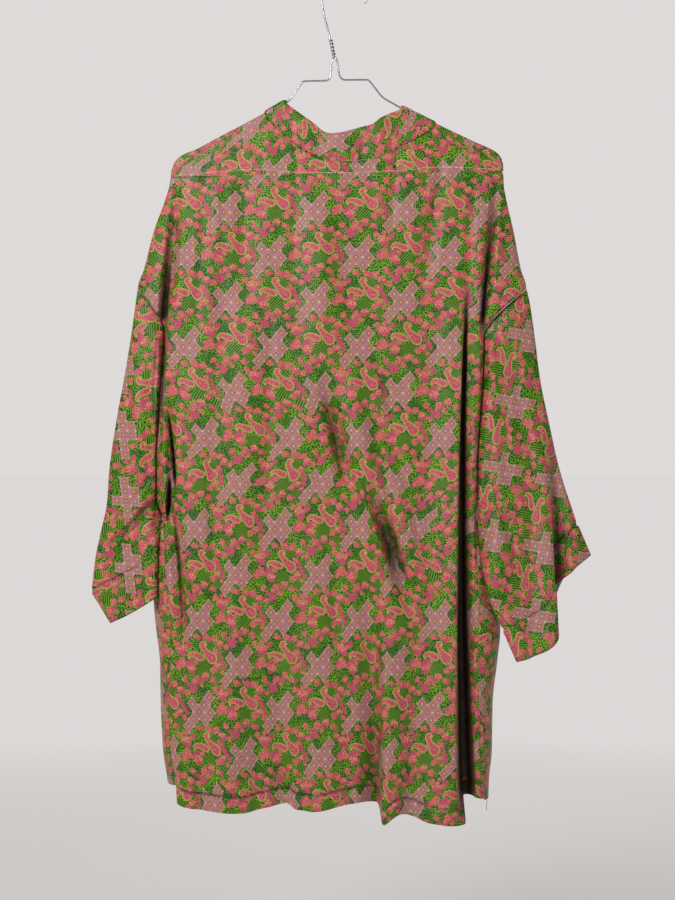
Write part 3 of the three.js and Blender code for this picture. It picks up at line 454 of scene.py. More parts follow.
def quarter(t: np.ndarray | float) -> np.ndarray:
    """Return the height of a quarter circle."""
    return np.sqrt(np.maximum(0.0, 1 - (1 - np.clip(t, 0.0, 1.0)) ** 2))


def soft_noise(x: np.ndarray, y: np.ndarray, seed: int) -> np.ndarray:
    """Return smooth noise from -1 to 1 with a cell of 1.

    Args:
        x: Places across, in cells.
        y: Places down, in cells.
        seed: Chooses the pattern.

    Returns:
        An array of the same shape.
    """
    table = np.random.default_rng(seed).uniform(-1.0, 1.0, (64, 64))
    column = np.floor(x).astype(int)
    row = np.floor(y).astype(int)
    u = ease(x - column)
    v = ease(y - row)
    top = mix(table[row % 64, column % 64], table[row % 64, (column + 1) % 64], u)
    low = mix(table[(row + 1) % 64, column % 64], table[(row + 1) % 64, (column + 1) % 64], u)
    return mix(top, low, v)


def folded(folds: Sequence[Fold], x: np.ndarray, drop: np.ndarray) -> tuple[np.ndarray, np.ndarray]:
    """Add up what a list of folds does to the cloth at each place.

    Args:
        folds: The folds.
        x: Places across.
        drop: Places down.

    Returns:
        How far each place rises off the panel, and how far it is pushed sideways.
    """
    rise = np.zeros_like(x)
    lean = np.zeros_like(x)
    for fold in folds:
        t = (drop - fold.start) / (fold.end - fold.start)
        inside = (t >= 0) & (t <= 1)
        off = (x - bowed(fold, t)) / mix(fold.width0, fold.width1, t)
        shape = np.where(inside & (np.abs(off) < 1), (1 - off * off) ** 2, 0.0)
        rise += shape * through(fold.rise, t)
        lean += shape * mix(fold.lean0, fold.lean1, t)
    return rise, lean


class JacketForm:
    """The surface that the jacket's body hangs in, worked out from the tables."""

    EDGE_ROUND = 8.0
    ROUND_FROM = 280.0
    ROUND_RUN = 200.0
    SPREAD = 13.0
    GROWTH = 60.0
    FOLDS_EASE = 5.0
    TUCKS_EASE = 8.0
    TUCK_FADE = 0.3
    TUCK_RIDGE = 0.9
    TUCK_PITCH = 4.0
    TUCK_GROOVE = 2.4

    def __init__(self) -> None:
        """Read the tables."""
        self.shoulder = columns(SHOULDER, "x")["drop"]
        self.sides = columns(SIDES, "drop")
        self.depths = columns(DEPTHS, "drop")
        self.hem = columns(HEM, "x")["lower"]

    @staticmethod
    def yoke_drop(x: np.ndarray | float) -> np.ndarray:
        """Return the height of the yoke's seam."""
        return YOKE_SEAM - YOKE_SLOPE * x

    def point(
        self, x: np.ndarray, drop: np.ndarray, face: Face, lift: float = 0.0, fine: bool = True
    ) -> np.ndarray:
        """Place the cloth at spots given by how far across and how far down they are.

        Args:
            x: Places across.
            drop: Places down.
            face: Which side of the hanger.
            lift: How much higher a thicker piece rides over the wire.
            fine: Whether the small creases are added.

        Returns:
            An array with x, y and z in the last axis, in millimetres.
        """
        left = self.sides["left"](drop)
        right = self.sides["right"](drop)
        slit = self.sides["slit"](drop)
        inset = np.maximum(0.0, np.minimum(x - left, right - x))
        fall = np.maximum(0.0, drop - self.shoulder(x) + lift)
        seat = SEAT + lift
        nose = mix(seat, self.EDGE_ROUND, ease((drop - self.ROUND_FROM) / self.ROUND_RUN))
        spread = 1 - np.exp(-inset / self.SPREAD)
        growth = 1 - np.exp(-fall / self.GROWTH)
        back = face is Face.BACK
        rise, lean = folded(BACK_FOLDS if back else FRONT_FOLDS, x, drop)
        if fine:
            small_rise, small_lean = folded(FINE_BACK_FOLDS if back else FINE_FRONT_FOLDS, x, drop)
            rise = rise + small_rise + self.ripples(x, drop, back)
            lean = lean + small_lean
        depth = self.depths["back" if back else "front"](drop) + rise * ease(inset / self.FOLDS_EASE)
        bend = quarter(np.minimum(inset, fall) / seat) * seat
        edge = quarter(inset / nose) * nose
        rounded = np.where(fall < seat, bend, edge)
        y = slit * (1 - spread) + np.minimum(rounded, seat + (nose - seat) * growth)
        y = y + np.maximum(0.0, depth - nose) * growth * spread
        x = x + lean * spread
        if fine and back:
            y = self.slotted(x, drop, y + self.tucked(x, drop) * ease(inset / self.TUCKS_EASE))
        return np.stack([x, face.value * y, -drop], axis=-1)

    @staticmethod
    def slotted(x: np.ndarray, drop: np.ndarray, y: np.ndarray) -> np.ndarray:
        """Cut the slots between the laps into the back, down to just off the hanger's plane.

        Args:
            x: Places across.
            drop: Places down.
            y: How far the cloth stands off the hanger's plane.

        Returns:
            The same distance with the slots in it.
        """
        for slot in SLOTS:
            t = np.clip((drop - slot.start) / (slot.end - slot.start), 0.0, 1.0)
            off = np.clip((x - bowed(slot, t)) / through(slot.widths, t), -1.0, 1.0)
            fade_in, fade_out = slot.fades
            strength = slot.share * ease(t / fade_in) * ease((1 - t) / fade_out)
            y = mix(y, np.minimum(y, SLOT_FLOOR), strength * (1 - off**4) ** 2)
        return y

    @classmethod
    def tucked(cls, x: np.ndarray, drop: np.ndarray) -> np.ndarray:
        """Return how far the small creases across the cloth lift it."""
        lift = np.zeros_like(x)
        for tuck in TUCKS:
            t = (x - tuck.x0) / (tuck.x1 - tuck.x0)
            away = drop - mix(tuck.drop0, tuck.drop1, t)
            window = ease(t / cls.TUCK_FADE) * ease((1 - t) / cls.TUCK_FADE)
            ridge = cls.TUCK_RIDGE * bell((away + cls.TUCK_PITCH) / cls.TUCK_PITCH)
            lift += tuck.rise * window * (ridge - bell(away / cls.TUCK_GROOVE))
        return lift

    @staticmethod
    def ripples(x: np.ndarray, drop: np.ndarray, back: bool) -> np.ndarray:
        """Return the cloth's faint unevenness: long soft waves and short slack ones."""
        seed = 3 if back else 4
        long_waves = 1.5 * soft_noise(x / 24 + drop / 900, drop / 210, seed)
        short_waves = 0.55 * soft_noise(x / 11, drop / 60, seed + 10)
        slack = 0.35 * soft_noise(x / 26, drop / 17, seed + 20)
        return long_waves + short_waves + slack


FORM = JacketForm()


def normals_of(grid: np.ndarray, closed: bool) -> np.ndarray:
    """Return the unit normals of a grid of points."""
    if closed:
        along = np.roll(grid, -1, axis=1) - np.roll(grid, 1, axis=1)
    else:
        along = np.gradient(grid, axis=1)
    across = np.gradient(grid, axis=0)
    normal = np.cross(along, across)
    length = np.linalg.norm(normal, axis=2, keepdims=True)
    return normal / np.maximum(length, 1e-9)


def strip_lengths(grid: np.ndarray, axis: int) -> np.ndarray:
    """Return the running length of each line of a grid along an axis."""
    steps = np.linalg.norm(np.diff(grid, axis=axis), axis=2)
    pad = [(1, 0), (0, 0)] if axis == 0 else [(0, 0), (1, 0)]
    return np.pad(np.cumsum(steps, axis=axis), pad)


def grid_area(grid: np.ndarray) -> float:
    """Return the area of a grid in square millimetres."""
    one = np.cross(grid[1:, 1:] - grid[:-1, :-1], grid[1:, :-1] - grid[:-1, 1:])
    return float(np.linalg.norm(one, axis=2).sum() / 2)


def cell_corners(grid: np.ndarray) -> tuple[np.ndarray, ...]:
    """Return the four corners of each cell of a grid, in order round it."""
    return grid[:-1, :-1], grid[:-1, 1:], grid[1:, 1:], grid[1:, :-1]


def running_share(x: np.ndarray, drop: np.ndarray) -> np.ndarray:
    """Return each point's place along a line, as a share of its length."""
    length = np.concatenate([[0], np.cumsum(np.hypot(np.diff(x), np.diff(drop)))])
    return length / length[-1]


def mesh_object(
    name: str,
    points: np.ndarray,
    faces: np.ndarray,
    uvs: np.ndarray | None = None,
    slots: np.ndarray | None = None,
    shade: np.ndarray | None = None,
) -> bpy.types.Object:
    """Make an object from arrays.

    Args:
        name: The object's name.
        points: Its points, in millimetres.
        faces: Its faces, four corners each.
        uvs: A place in the print for each corner of each face.
        slots: The material slot of each face.
        shade: The painted shade at each point, from 0 to 1, by how deep in a fold it lies.

    Returns:
        The object, linked to the scene.
    """
    mesh = bpy.data.meshes.new(name)
    mesh.from_pydata((points.reshape(-1, 3) * MM).tolist(), [], faces.tolist())
    mesh.polygons.foreach_set("use_smooth", np.ones(len(faces), bool))
    if slots is not None:
        mesh.polygons.foreach_set("material_index", slots.astype(np.int32))
    if uvs is not None:
        layer = mesh.uv_layers.new(name="print")
        layer.uv.foreach_set("vector", uvs.reshape(-1).astype(np.float32))
    if shade is not None:
        # The painted shade is stored as a point attribute, which the silk's material reads to darken
        # its colour.
        depth = mesh.attributes.new("painted_fold_shade", "FLOAT", "POINT")
        depth.data.foreach_set("value", shade.astype(np.float32))
    mesh.update()
    made = bpy.data.objects.new(name, mesh)
    bpy.context.scene.collection.objects.link(made)
    return made


def painted_fold_shade(grid: np.ndarray, closed: bool) -> np.ndarray:
    """Return the painted shade for each point of a cloth, by how deep in a fold it lies, from 0 in the
    open to 1 in a slot.

    Args:
        grid: Points in rows, in millimetres.
        closed: Whether each row is a loop.

    Returns:
        One value to a point.
    """
    facing = normals_of(grid, True)[..., 1] if closed else grid[..., 1]
    side = np.where(facing < 0, -1.0, 1.0)
    height = grid[..., 1] * side
    shade = np.zeros_like(height)
    down = np.gradient(grid[..., 2], axis=0)
    bend = np.zeros_like(height)
    for reach in BEND_REACHES:
        run = np.maximum(np.abs(down) * reach, LEAST_RUN)
        above = np.roll(height, reach, axis=0) - height
        below = np.roll(height, -reach, axis=0) - height
        above[:reach] = 0.0
        below[-reach:] = 0.0
        bend = np.maximum(bend, np.minimum(np.maximum(above, 0), np.maximum(below, 0)) / run)
    # Painted shade where the cloth nearby rises on both sides and hides the open.
    for r, (x, h, s) in enumerate(zip(grid[..., 0], height, side)):
        away = x[None, :] - x[:, None]
        run = np.abs(away)
        near = (s[None, :] == s[:, None]) & (run > LEAST_RUN) & (run < FOLD_REACH)
        rise = np.where(near, (h[None, :] - h[:, None]) / np.maximum(run, LEAST_RUN), 0.0)
        rise = np.maximum(rise, 0.0)
        lower = np.where(away < 0, rise, 0.0).max(axis=1)
        upper = np.where(away > 0, rise, 0.0).max(axis=1)
        seen = 1 - (lower / np.hypot(1, lower) + upper / np.hypot(1, upper)) / 2
        shade[r] = 1 - ease(seen / FOLD_LIGHT)
    # Painted shade also goes in grooves and creases that run across the cloth, such as the hem's.
    shade = np.maximum(shade, BEND_SHADE * ease(bend / BEND_LIMIT))
    # Tubes get half the painted shade, and their end rows get painted shade that draws their seams as
    # dark lines.
    if closed:
        shade *= TUBE_SHADE
        for end in (0, -1):
            shade[end] = np.maximum(shade[end], SEAM_SHADE)
    return shade


def shell(
    name: str, grid: np.ndarray, places: np.ndarray, thickness: float, closed: bool = False
) -> bpy.types.Object:
    """Make a thin shell of cloth round a grid of points, with its right side out.

    Args:
        name: The object's name.
        grid: Points in rows, in millimetres.
        places: Each point's place in the print; a closed grid has one more column here.
        thickness: The cloth's thickness.
        closed: Whether each row is a loop.

    Returns:
        The object, with the right side in slot 0 and the wrong side in slot 1.
    """
    rows, wide = grid.shape[:2]
    normal = normals_of(grid, closed)
    outer = grid + normal * thickness / 2
    inner = grid - normal * thickness / 2
    index = np.arange(rows * wide).reshape(rows, wide)
    if closed:
        index = np.concatenate([index, index[:, :1]], axis=1)
    a, b, c, d = cell_corners(index)
    front = np.stack([a, b, c, d], axis=-1).reshape(-1, 4)
    back = np.stack([a, d, c, b], axis=-1).reshape(-1, 4) + rows * wide
    uv = places[:, : index.shape[1]]
    ua, ub, uc, ud = cell_corners(uv)
    uv_front = np.stack([ua, ub, uc, ud], axis=-2).reshape(-1, 4, 2)
    uv_back = np.stack([ua, ud, uc, ub], axis=-2).reshape(-1, 4, 2)
    borders = [(index[0], uv[0]), (index[-1][::-1], uv[-1][::-1])]
    if not closed:
        borders.append((index[:, 0][::-1], uv[:, 0][::-1]))
        borders.append((index[:, -1], uv[:, -1]))
    outer = outer.reshape(-1, 3)
    inner = inner.reshape(-1, 3)
    points = [outer, inner]
    # Painted shade for the folds, laid on both faces and on the rims.
    deep = painted_fold_shade(grid, closed).reshape(-1)
    shade = [deep, deep]
    faces = [front, back]
    uvs = [uv_front, uv_back]
    count = 2 * rows * wide
    for line, line_uv in borders:
        n = len(line)
        points += [outer[line], inner[line]]
        shade.append(np.tile(deep[line], 2))
        k = np.arange(n - 1)
        faces.append(np.stack([k, k + n, k + n + 1, k + 1], axis=-1) + count)
        uvs.append(np.stack([line_uv[:-1], line_uv[:-1], line_uv[1:], line_uv[1:]], axis=-2))
        count += 2 * n
    all_faces = np.concatenate(faces)
    slots = np.zeros(len(all_faces), int)
    slots[len(front) : len(front) + len(back)] = 1
    all_points = np.concatenate(points)
    return mesh_object(
        name, all_points, all_faces, np.concatenate(uvs), slots, np.concatenate(shade)
    )


def sewn(grid: np.ndarray, edges: Sequence[str], depth: float = 0.8, reach: float = 2.2) -> np.ndarray:
    """Roll a panel's sewn edges under, as a pressed seam does.

    Args:
        grid: Points in rows.
        edges: Which edges are sewn: top, bottom, first or last.
        depth: How far the edge dips.
        reach: How far from the edge the dip starts.

    Returns:
        The grid with its edges turned in.
    """
    normal = normals_of(grid, False)
    dip = np.zeros(grid.shape[:2])
    down = strip_lengths(grid, 0)
    across = strip_lengths(grid, 1)
    distances = {
        "top": down,
        "bottom": down[-1:, :] - down,
        "first": across,
        "last": across[:, -1:] - across,
    }
    for edge in edges:
        dip = np.maximum(dip, bell(distances[edge] / reach))
    return grid - normal * (depth * dip)[..., None]


def turn(places: np.ndarray, degrees: float, shift: tuple[float, float]) -> np.ndarray:
    """Turn and shift places in the print."""
    angle = math.radians(degrees)
    x = places[..., 0] * math.cos(angle) - places[..., 1] * math.sin(angle) + shift[0]
    y = places[..., 0] * math.sin(angle) + places[..., 1] * math.cos(angle) + shift[1]
    return np.stack([x, y], axis=-1)


def refine(values: Sequence[float], step: float) -> np.ndarray:
    """Return the values with more between them, no further apart than a step."""
    parts = []
    for low, high in zip(values[:-1], values[1:]):
        count = max(1, math.ceil(abs(high - low) / step))
        parts.append(np.linspace(low, high, count, endpoint=False))
    parts.append(np.array([values[-1]]))
    return np.concatenate(parts)


def shares(count: int, crowding: float) -> np.ndarray:
    """Return places from 0 to 1 that crowd towards both ends."""
    t = np.linspace(0.0, 1.0, count + 1)
    return mix(t, (1 - np.cos(np.pi * t)) / 2, crowding)


@dataclass
class Panel:
    """A cut piece of silk: its name, its place in the print and its shell."""

    node: str
    angle: float = 0.0
    shift: tuple[float, float] = (0.0, 0.0)
    thickness: float = SHELL
    grid: np.ndarray = field(default_factory=lambda: np.zeros((2, 2, 3)))
    closed: bool = False

    def places(self) -> np.ndarray:
        """Return each point's place in the print, measured along the cloth."""
        middle_row = self.grid[self.grid.shape[0] // 2, :, 0]
        across = strip_lengths(self.grid, 1) * np.sign(middle_row[-1] - middle_row[0])
        middle = int(np.argmin(np.abs(middle_row - 16)))
        u = across - across[:, middle : middle + 1]
        slack = mix(0.97, 1.07, ease((-self.grid[..., 2] - 320) / 520))
        u = u * slack + self.grid[:, middle : middle + 1, 0]
        return turn(np.stack([u, self.grid[..., 2]], axis=-1), self.angle, self.shift)

    def build(self, right_side: bpy.types.Material, wrong_side: bpy.types.Material) -> bpy.types.Object:
        """Make the piece, dress it, hide its part of the frame, hang it from the root and log its cut
        size.

        Args:
            right_side: The finish that shows outside.
            wrong_side: The finish inside.

        Returns:
            The piece.
        """
        piece = shell(f"{self.node}_cloth", self.grid, self.places(), self.thickness, self.closed)
        piece.data.materials.append(right_side)
        piece.data.materials.append(wrong_side)
        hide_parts(self.node)
        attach(piece, "root")
        loop = np.concatenate([self.grid, self.grid[:, :1]], axis=1) if self.closed else self.grid
        width = float(strip_lengths(loop, 1)[:, -1].max()) * MM
        length = float(strip_lengths(loop, 0)[-1].max()) * MM
        area = grid_area(loop) * MM * MM
        flat = (width, min(max(length, area / width * 1.001), area / width * 1.15))
        LOG.info("%s: cut %.0f by %.0f mm, %.3f m2", self.node, flat[0] * 1000, flat[1] * 1000, area)
        return piece


class NodeGraph:
    """Adds nodes to a tree from plain calls, so that a pattern reads like a sum."""

    def __init__(self, tree: bpy.types.NodeTree) -> None:
        """Keep the tree that the nodes go in."""
        self.tree = tree

    def node(self, kind: str, **settings: object) -> bpy.types.Node:
        """Add a node and set its properties."""
        made = self.tree.nodes.new(kind)
        for name, value in settings.items():
            setattr(made, name, value)
        return made

    def feed(self, node: bpy.types.Node, sockets: dict[str, object]) -> None:
        """Feed several of a node's sockets."""
        for name, value in sockets.items():
            self.wire(node.inputs[name], value)

    def layered(self, colour: object, layers: Sequence[tuple]) -> object:
        """Lay dyes over a colour in order, each where its value lies below an edge.

        Args:
            colour: What lies below.
            layers: For each dye its value, its edge, how softly that ends, and the dye.
        """
        for value, edge, soft, dye in layers:
            colour = self.mixed(self.step(value, edge, soft), colour, dye)
        return colour

    def wire(self, socket: bpy.types.NodeSocket, value: object) -> None:
        """Feed a socket from another socket or from a value."""
        if isinstance(value, bpy.types.NodeSocket):
            self.tree.links.new(value, socket)
        elif value is not None:
            socket.default_value = value

    def math(self, operation: str, a: object, b: object = None, c: object = None, clamp: bool = False):
        """Return the result of one sum on numbers."""
        made = self.node("ShaderNodeMath", operation=operation, use_clamp=clamp)
        for socket, value in zip(made.inputs, (a, b, c)):
            self.wire(socket, value)
        return made.outputs[0]

    def vector(self, operation: str, a: object, b: object = None, scale: object = None):
        """Return the result of one sum on vectors."""
        made = self.node("ShaderNodeVectorMath", operation=operation)
        self.wire(made.inputs[0], a)
        self.wire(made.inputs[1], b)
        if scale is not None:
            self.wire(made.inputs["Scale"], scale)
        return made.outputs["Value" if operation in ("DISTANCE", "LENGTH", "DOT_PRODUCT") else "Vector"]

    def mixed(self, share: object, under: object, over: object, kind: str = "MIX"):
        """Return one colour laid over another."""
        made = self.node("ShaderNodeMix", data_type="RGBA", blend_type=kind)
        self.wire(made.inputs["Factor"], share)
        self.wire(made.inputs[6], under)
        self.wire(made.inputs[7], over)
        return made.outputs[2]

    def noise(self, place: object, pitch: float, detail: float = 1.0):
        """Return noise from 0 to 1, and its colour, with features of a pitch in millimetres."""
        made = self.node("ShaderNodeTexNoise")
        self.wire(made.inputs["Vector"], place)
        made.inputs["Scale"].default_value = 1 / pitch
        made.inputs["Detail"].default_value = detail
        return made.outputs[0], made.outputs[1]

    def spots(self, place: object, pitch: float, radius: float, soft: float):
        """Return a mask of small dots, one to a cell.

        Args:
            place: Where to look.
            pitch: The cell's size.
            radius: The dot's radius as a share of the cell.
            soft: How softly its edge ends, as the same share.
        """
        made = self.node("ShaderNodeTexVoronoi", voronoi_dimensions="2D", feature="F1")
        self.wire(made.inputs["Vector"], place)
        made.inputs["Scale"].default_value = 1 / pitch
        made.inputs["Randomness"].default_value = 0.75
        return self.step(made.outputs["Distance"], radius, soft)

    def step(self, value: object, edge: float, soft: float):
        """Return 1 where a value is below an edge and 0 above it, with a soft change."""
        return self.math("MULTIPLY_ADD", value, -1 / soft, edge / soft + 0.5, clamp=True)

    def circles(self, place: object, circles: Sequence[tuple], smooth: float = 0.0):
        """Return the distance to the nearest of some circles, below 0 inside them."""
        nearest = None
        for x, y, radius in circles:
            away = self.vector("DISTANCE", place, (x, y, 0.0))
            away = self.math("SUBTRACT", away, radius)
            if nearest is None:
                nearest = away
            elif smooth:
                nearest = self.math("SMOOTH_MIN", nearest, away, smooth)
            else:
                nearest = self.math("MINIMUM", nearest, away)
        return nearest


def new_material(name: str) -> tuple[bpy.types.Material, NodeGraph, bpy.types.Node]:
    """Start a material and return it with its graph and its surface's node."""
    material = bpy.data.materials.new(name)
    material.use_nodes = True
    return material, NodeGraph(material.node_tree), material.node_tree.nodes["Principled BSDF"]


def srgb(red: float, green: float, blue: float) -> tuple[float, float, float, float]:
    """Turn a screen colour from 0 to 255 into the linear one that a socket takes."""
    linear = []
    for value in (red / 255, green / 255, blue / 255):
        linear.append(value / 12.92 if value <= 0.04045 else ((value + 0.055) / 1.055) ** 2.4)
    return (linear[0], linear[1], linear[2], 1.0)


@dataclass(frozen=True)
class PrintColours:
    """The dyes of the silk's print."""

    ground_light: tuple = srgb(112, 166, 14)
    ground_dark: tuple = srgb(60, 124, 4)
    ground_dot: tuple = srgb(12, 24, 3)
    coral: tuple = srgb(190, 80, 76)
    rose: tuple = srgb(200, 94, 106)
    magenta: tuple = srgb(178, 58, 94)
    lilac: tuple = srgb(182, 120, 138)
    mauve: tuple = srgb(158, 104, 112)
    brown: tuple = srgb(150, 112, 78)
    olive: tuple = srgb(144, 118, 66)
    cream: tuple = srgb(214, 190, 122)
    peach: tuple = srgb(212, 146, 106)
    hatch: tuple = srgb(30, 40, 14)


class Flora(NamedTuple):
    """Leaves and flowers of one part of the repeat, as circles in millimetres about its centre."""

    centre: tuple[float, float]
    coral: tuple[tuple[float, float, float], ...]
    magenta: tuple[tuple[float, float, float], ...]
    flowers: tuple[tuple[float, float, float], ...]


class SilkPrint:
    """The jacket's repeating print: blocks of squares, paisleys and flowers on dotted green.

    The motifs repeat in a half-drop, so each group of them is charted once in a rhombic cell.
    Places are in millimetres from the middle of a block of squares, across and up.
    """

    REPEAT_WIDE = 112.0
    REPEAT_HIGH = 117.0
    ORIGIN = (16.4, -381.3, 0.0)
    SOFT = 0.35
    PAISLEY_CENTRE = (9.2, -43.7)
    LARGE_PAISLEY = (
        (11.9, -4.9, 6.7), (8.1, -1.4, 5.7), (3.9, 3.2, 4.2), (0.7, 7.7, 3.5), (-1.8, 11.6, 3.4),
        (-1.4, 14.1, 3.0), (1.4, 15.5, 1.8), (3.4, 13.4, 1.3),
    )
    SMALL_PAISLEY = (
        (-3.2, -3.5, 3.9), (-5.6, -2.5, 4.4), (-9.9, -0.6, 4.1), (-14.1, 0.7, 3.4),
        (-17.6, 0.6, 2.6), (-19.7, -1.4, 1.8), (-19.7, -4.2, 1.0),
    )
    FLORA = (
        Flora(
            (-20.0, -48.0),
            (
                (-1.4, -3.4, 3.6), (18.7, -4.6, 2.6), (5.0, 13.3, 2.6), (-10.6, 18.5, 3.1),
                (-0.2, 21.1, 2.6), (1.1, -8.0, 3.4), (0.4, 12.8, 2.3),
            ),
            ((12.2, -4.6, 3.4), (-6.7, -6.6, 2.9), (1.4, 6.0, 3.1), (9.6, 17.4, 2.9), (8.8, -9.9, 3.4)),
            ((-3.0, 11.6, 6.0),),
        ),
        Flora(
            (30.0, -12.0),
            (
                (31.5, -11.0, 2.3), (-5.9, -11.0, 3.6), (25.1, -3.3, 3.4), (-17.0, -9.2, 3.6),
                (8.2, -4.9, 3.1), (21.6, -8.2, 2.1), (-31.3, -8.2, 3.1), (0.6, 12.4, 3.4),
            ),
            (
                (20.7, -15.9, 4.7), (-12.7, -12.1, 2.9), (13.3, -11.0, 2.0), (-27.0, -10.1, 2.0),
                (30.6, -4.9, 1.8), (25.0, -5.6, 3.4), (-2.3, 10.1, 1.8),
            ),
            ((19.1, 8.8, 6.0), (1.9, -17.9, 4.9), (37.0, -1.0, 4.9)),
        ),
        Flora(
            (36.0, -56.0),
            (
                (-9.3, 16.4, 3.1), (-13.2, -7.3, 3.4), (6.2, 22.2, 2.9), (-0.2, -9.9, 2.1),
                (-15.2, -20.3, 2.9),
            ),
            (
                (-2.9, 7.2, 2.3), (0.4, 2.0, 2.3), (-5.7, 13.8, 2.6), (3.0, -3.8, 2.1),
                (1.3, 24.1, 1.8), (-11.3, -22.0, 2.3),
            ),
            ((-6.5, -2.9, 4.7),),
        ),
    )
    STIPPLE = (2.3, 0.27, 0.16)
    DOTS = (2.6, 0.36, 0.14)
    BEADS = (1.3, 0.42, 0.2)
    HATCH_ACROSS = (1.65, -1.5, 0.0)
    PETALS = 7.0
    PETAL_DEPTH = 0.1
    LEAF_MERGE = 3.0
    LEAF_EDGE = 0.85
    PAISLEY_MERGE = 1.2
    WEFT_PITCH = 0.42
    ROW_ALONG = (0.0662, 0.0533, 0.0)
    LINE_ALONG = (0.0597, -0.05, 0.0)
    LINES = ((0.0, 0.0, 2.1), (1.0, 0.5, 0.6), (-1.0, 0.0, 0.1))
    HATCHED_CENTRE = (18.0, -52.0)
    HATCHED = ((-8.2, -9.8, 8.5), (11.0, -19.0, 5.8), (-0.5, 19.0, 6.0))

    def __init__(self, colours: PrintColours) -> None:
        """Make the node group.

        Args:
            colours: The dyes.
        """
        self.colours = colours
        self.group = bpy.data.node_groups.new("silk_print", "ShaderNodeTree")
        self.group.interface.new_socket("Place", in_out="INPUT", socket_type="NodeSocketVector")
        self.group.interface.new_socket("Colour", in_out="OUTPUT", socket_type="NodeSocketColor")
        self.group.interface.new_socket("Relief", in_out="OUTPUT", socket_type="NodeSocketFloat")
        self.graph = NodeGraph(self.group)
        self.chart_print()

    def cell(self, place: object, centre: tuple[float, float]) -> object:
        """Return the place inside the repeat's cell about a charted centre."""
        g = self.graph
        local = g.vector("SUBTRACT", place, (centre[0], centre[1], 0.0))
        fractions = []
        for sign in (1, -1):
            turned = (1 / self.REPEAT_WIDE, sign / self.REPEAT_HIGH, 0.0)
            share = g.vector("DOT_PRODUCT", local, turned)
            share = g.math("ADD", share, 0.5)
            share = g.math("FLOORED_MODULO", share, 1.0)
            fractions.append(g.math("SUBTRACT", share, 0.5))
        first, second = fractions
        x = g.math("MULTIPLY", g.math("ADD", first, second), self.REPEAT_WIDE / 2)
        y = g.math("MULTIPLY", g.math("SUBTRACT", first, second), self.REPEAT_HIGH / 2)
        joined = g.node("ShaderNodeCombineXYZ")
        g.wire(joined.inputs[0], x)
        g.wire(joined.inputs[1], y)
        return joined.outputs[0]

    def flower(self, place: object, x: float, y: float, radius: float) -> tuple:
        """Return a flower's outline distance and how far a place lies above its middle."""
        g = self.graph
        local = g.vector("SUBTRACT", place, (x, y, 0.0))
        split = g.node("ShaderNodeSeparateXYZ")
        g.wire(split.inputs[0], local)
        angle = g.math("ARCTAN2", split.outputs[1], split.outputs[0])
        wave = g.math("SINE", g.math("MULTIPLY", angle, self.PETALS))
        edge = g.math("MULTIPLY_ADD", wave, self.PETAL_DEPTH * radius, radius)
        return g.math("SUBTRACT", g.vector("LENGTH", local), edge), split.outputs[1]

    def chart_print(self) -> None:
        """Lay the print's parts over one another, from the ground to the blocks."""
        g = self.graph
        c = self.colours
        entry = g.node("NodeGroupInput")
        leave = g.node("NodeGroupOutput")
        place = g.vector("SUBTRACT", entry.outputs["Place"], self.ORIGIN)
        _, wobble = g.noise(place, 4.2, 2.0)
        wobble = g.vector("SUBTRACT", wobble, (0.5, 0.5, 0.5))
        drawn = g.vector("ADD", place, g.vector("SCALE", wobble, scale=1.6))
        loose = g.vector("ADD", place, g.vector("SCALE", wobble, scale=6.0))
        mottle, ragged = g.noise(place, 1.9, 1.0)
        ragged = g.vector("SUBTRACT", ragged, (0.5, 0.5, 0.5))
        loose = g.vector("ADD", loose, g.vector("SCALE", ragged, scale=5.6))

        cloudy, _ = g.noise(place, 26.0, 2.0)
        share = g.math("MULTIPLY_ADD", cloudy, 4.0, -1.5, clamp=True)
        colour = g.mixed(share, c.ground_dark, c.ground_light)
        dots = g.spots(place, *self.DOTS)
        colour = g.mixed(dots, colour, c.ground_dot)

        local = self.cell(loose, self.HATCHED_CENTRE)
        patch = g.step(g.circles(local, self.HATCHED), 0.0, 1.0)
        lines = g.math("SINE", g.vector("DOT_PRODUCT", place, self.HATCH_ACROSS))
        lines = g.step(lines, -0.1, 0.7)
        ground = g.mixed(lines, g.mixed(0.4, c.ground_light, c.ground_dark), c.hatch)
        colour = g.mixed(patch, colour, ground)

        stipple = g.spots(drawn, *self.STIPPLE)
        veined = g.math("MULTIPLY_ADD", mottle, 7.0, -3.1, clamp=True)
        coral_dye = g.mixed(veined, c.coral, c.rose)
        flecks = g.math("MULTIPLY", g.math("MULTIPLY", stipple, veined), 0.75)
        coral_dye = g.mixed(flecks, coral_dye, c.cream)
        magenta_dye = g.mixed(g.math("MULTIPLY", veined, 0.7), c.magenta, c.rose)
        for flora in self.FLORA:
            local = self.cell(loose, flora.centre)
            for circles, dye in ((flora.magenta, magenta_dye), (flora.coral, coral_dye)):
                leaves = g.circles(local, circles, self.LEAF_MERGE)
                colour = g.mixed(g.step(leaves, self.LEAF_EDGE, self.SOFT), colour, dye)
            for x, y, radius in flora.flowers:
                edge, above = self.flower(local, x, y, radius)
                low = g.step(above, -0.25 * radius, radius * 0.5)
                petal = g.mixed(low, coral_dye, magenta_dye)
                light = g.math("MULTIPLY", stipple, g.math("SUBTRACT", 1.0, low))
                light = g.math("MULTIPLY", light, g.step(edge, -0.5, 0.5))
                petal = g.mixed(g.math("MULTIPLY", light, 0.8), petal, c.cream)
                colour = g.mixed(g.step(edge, 0.2, self.SOFT), colour, petal)

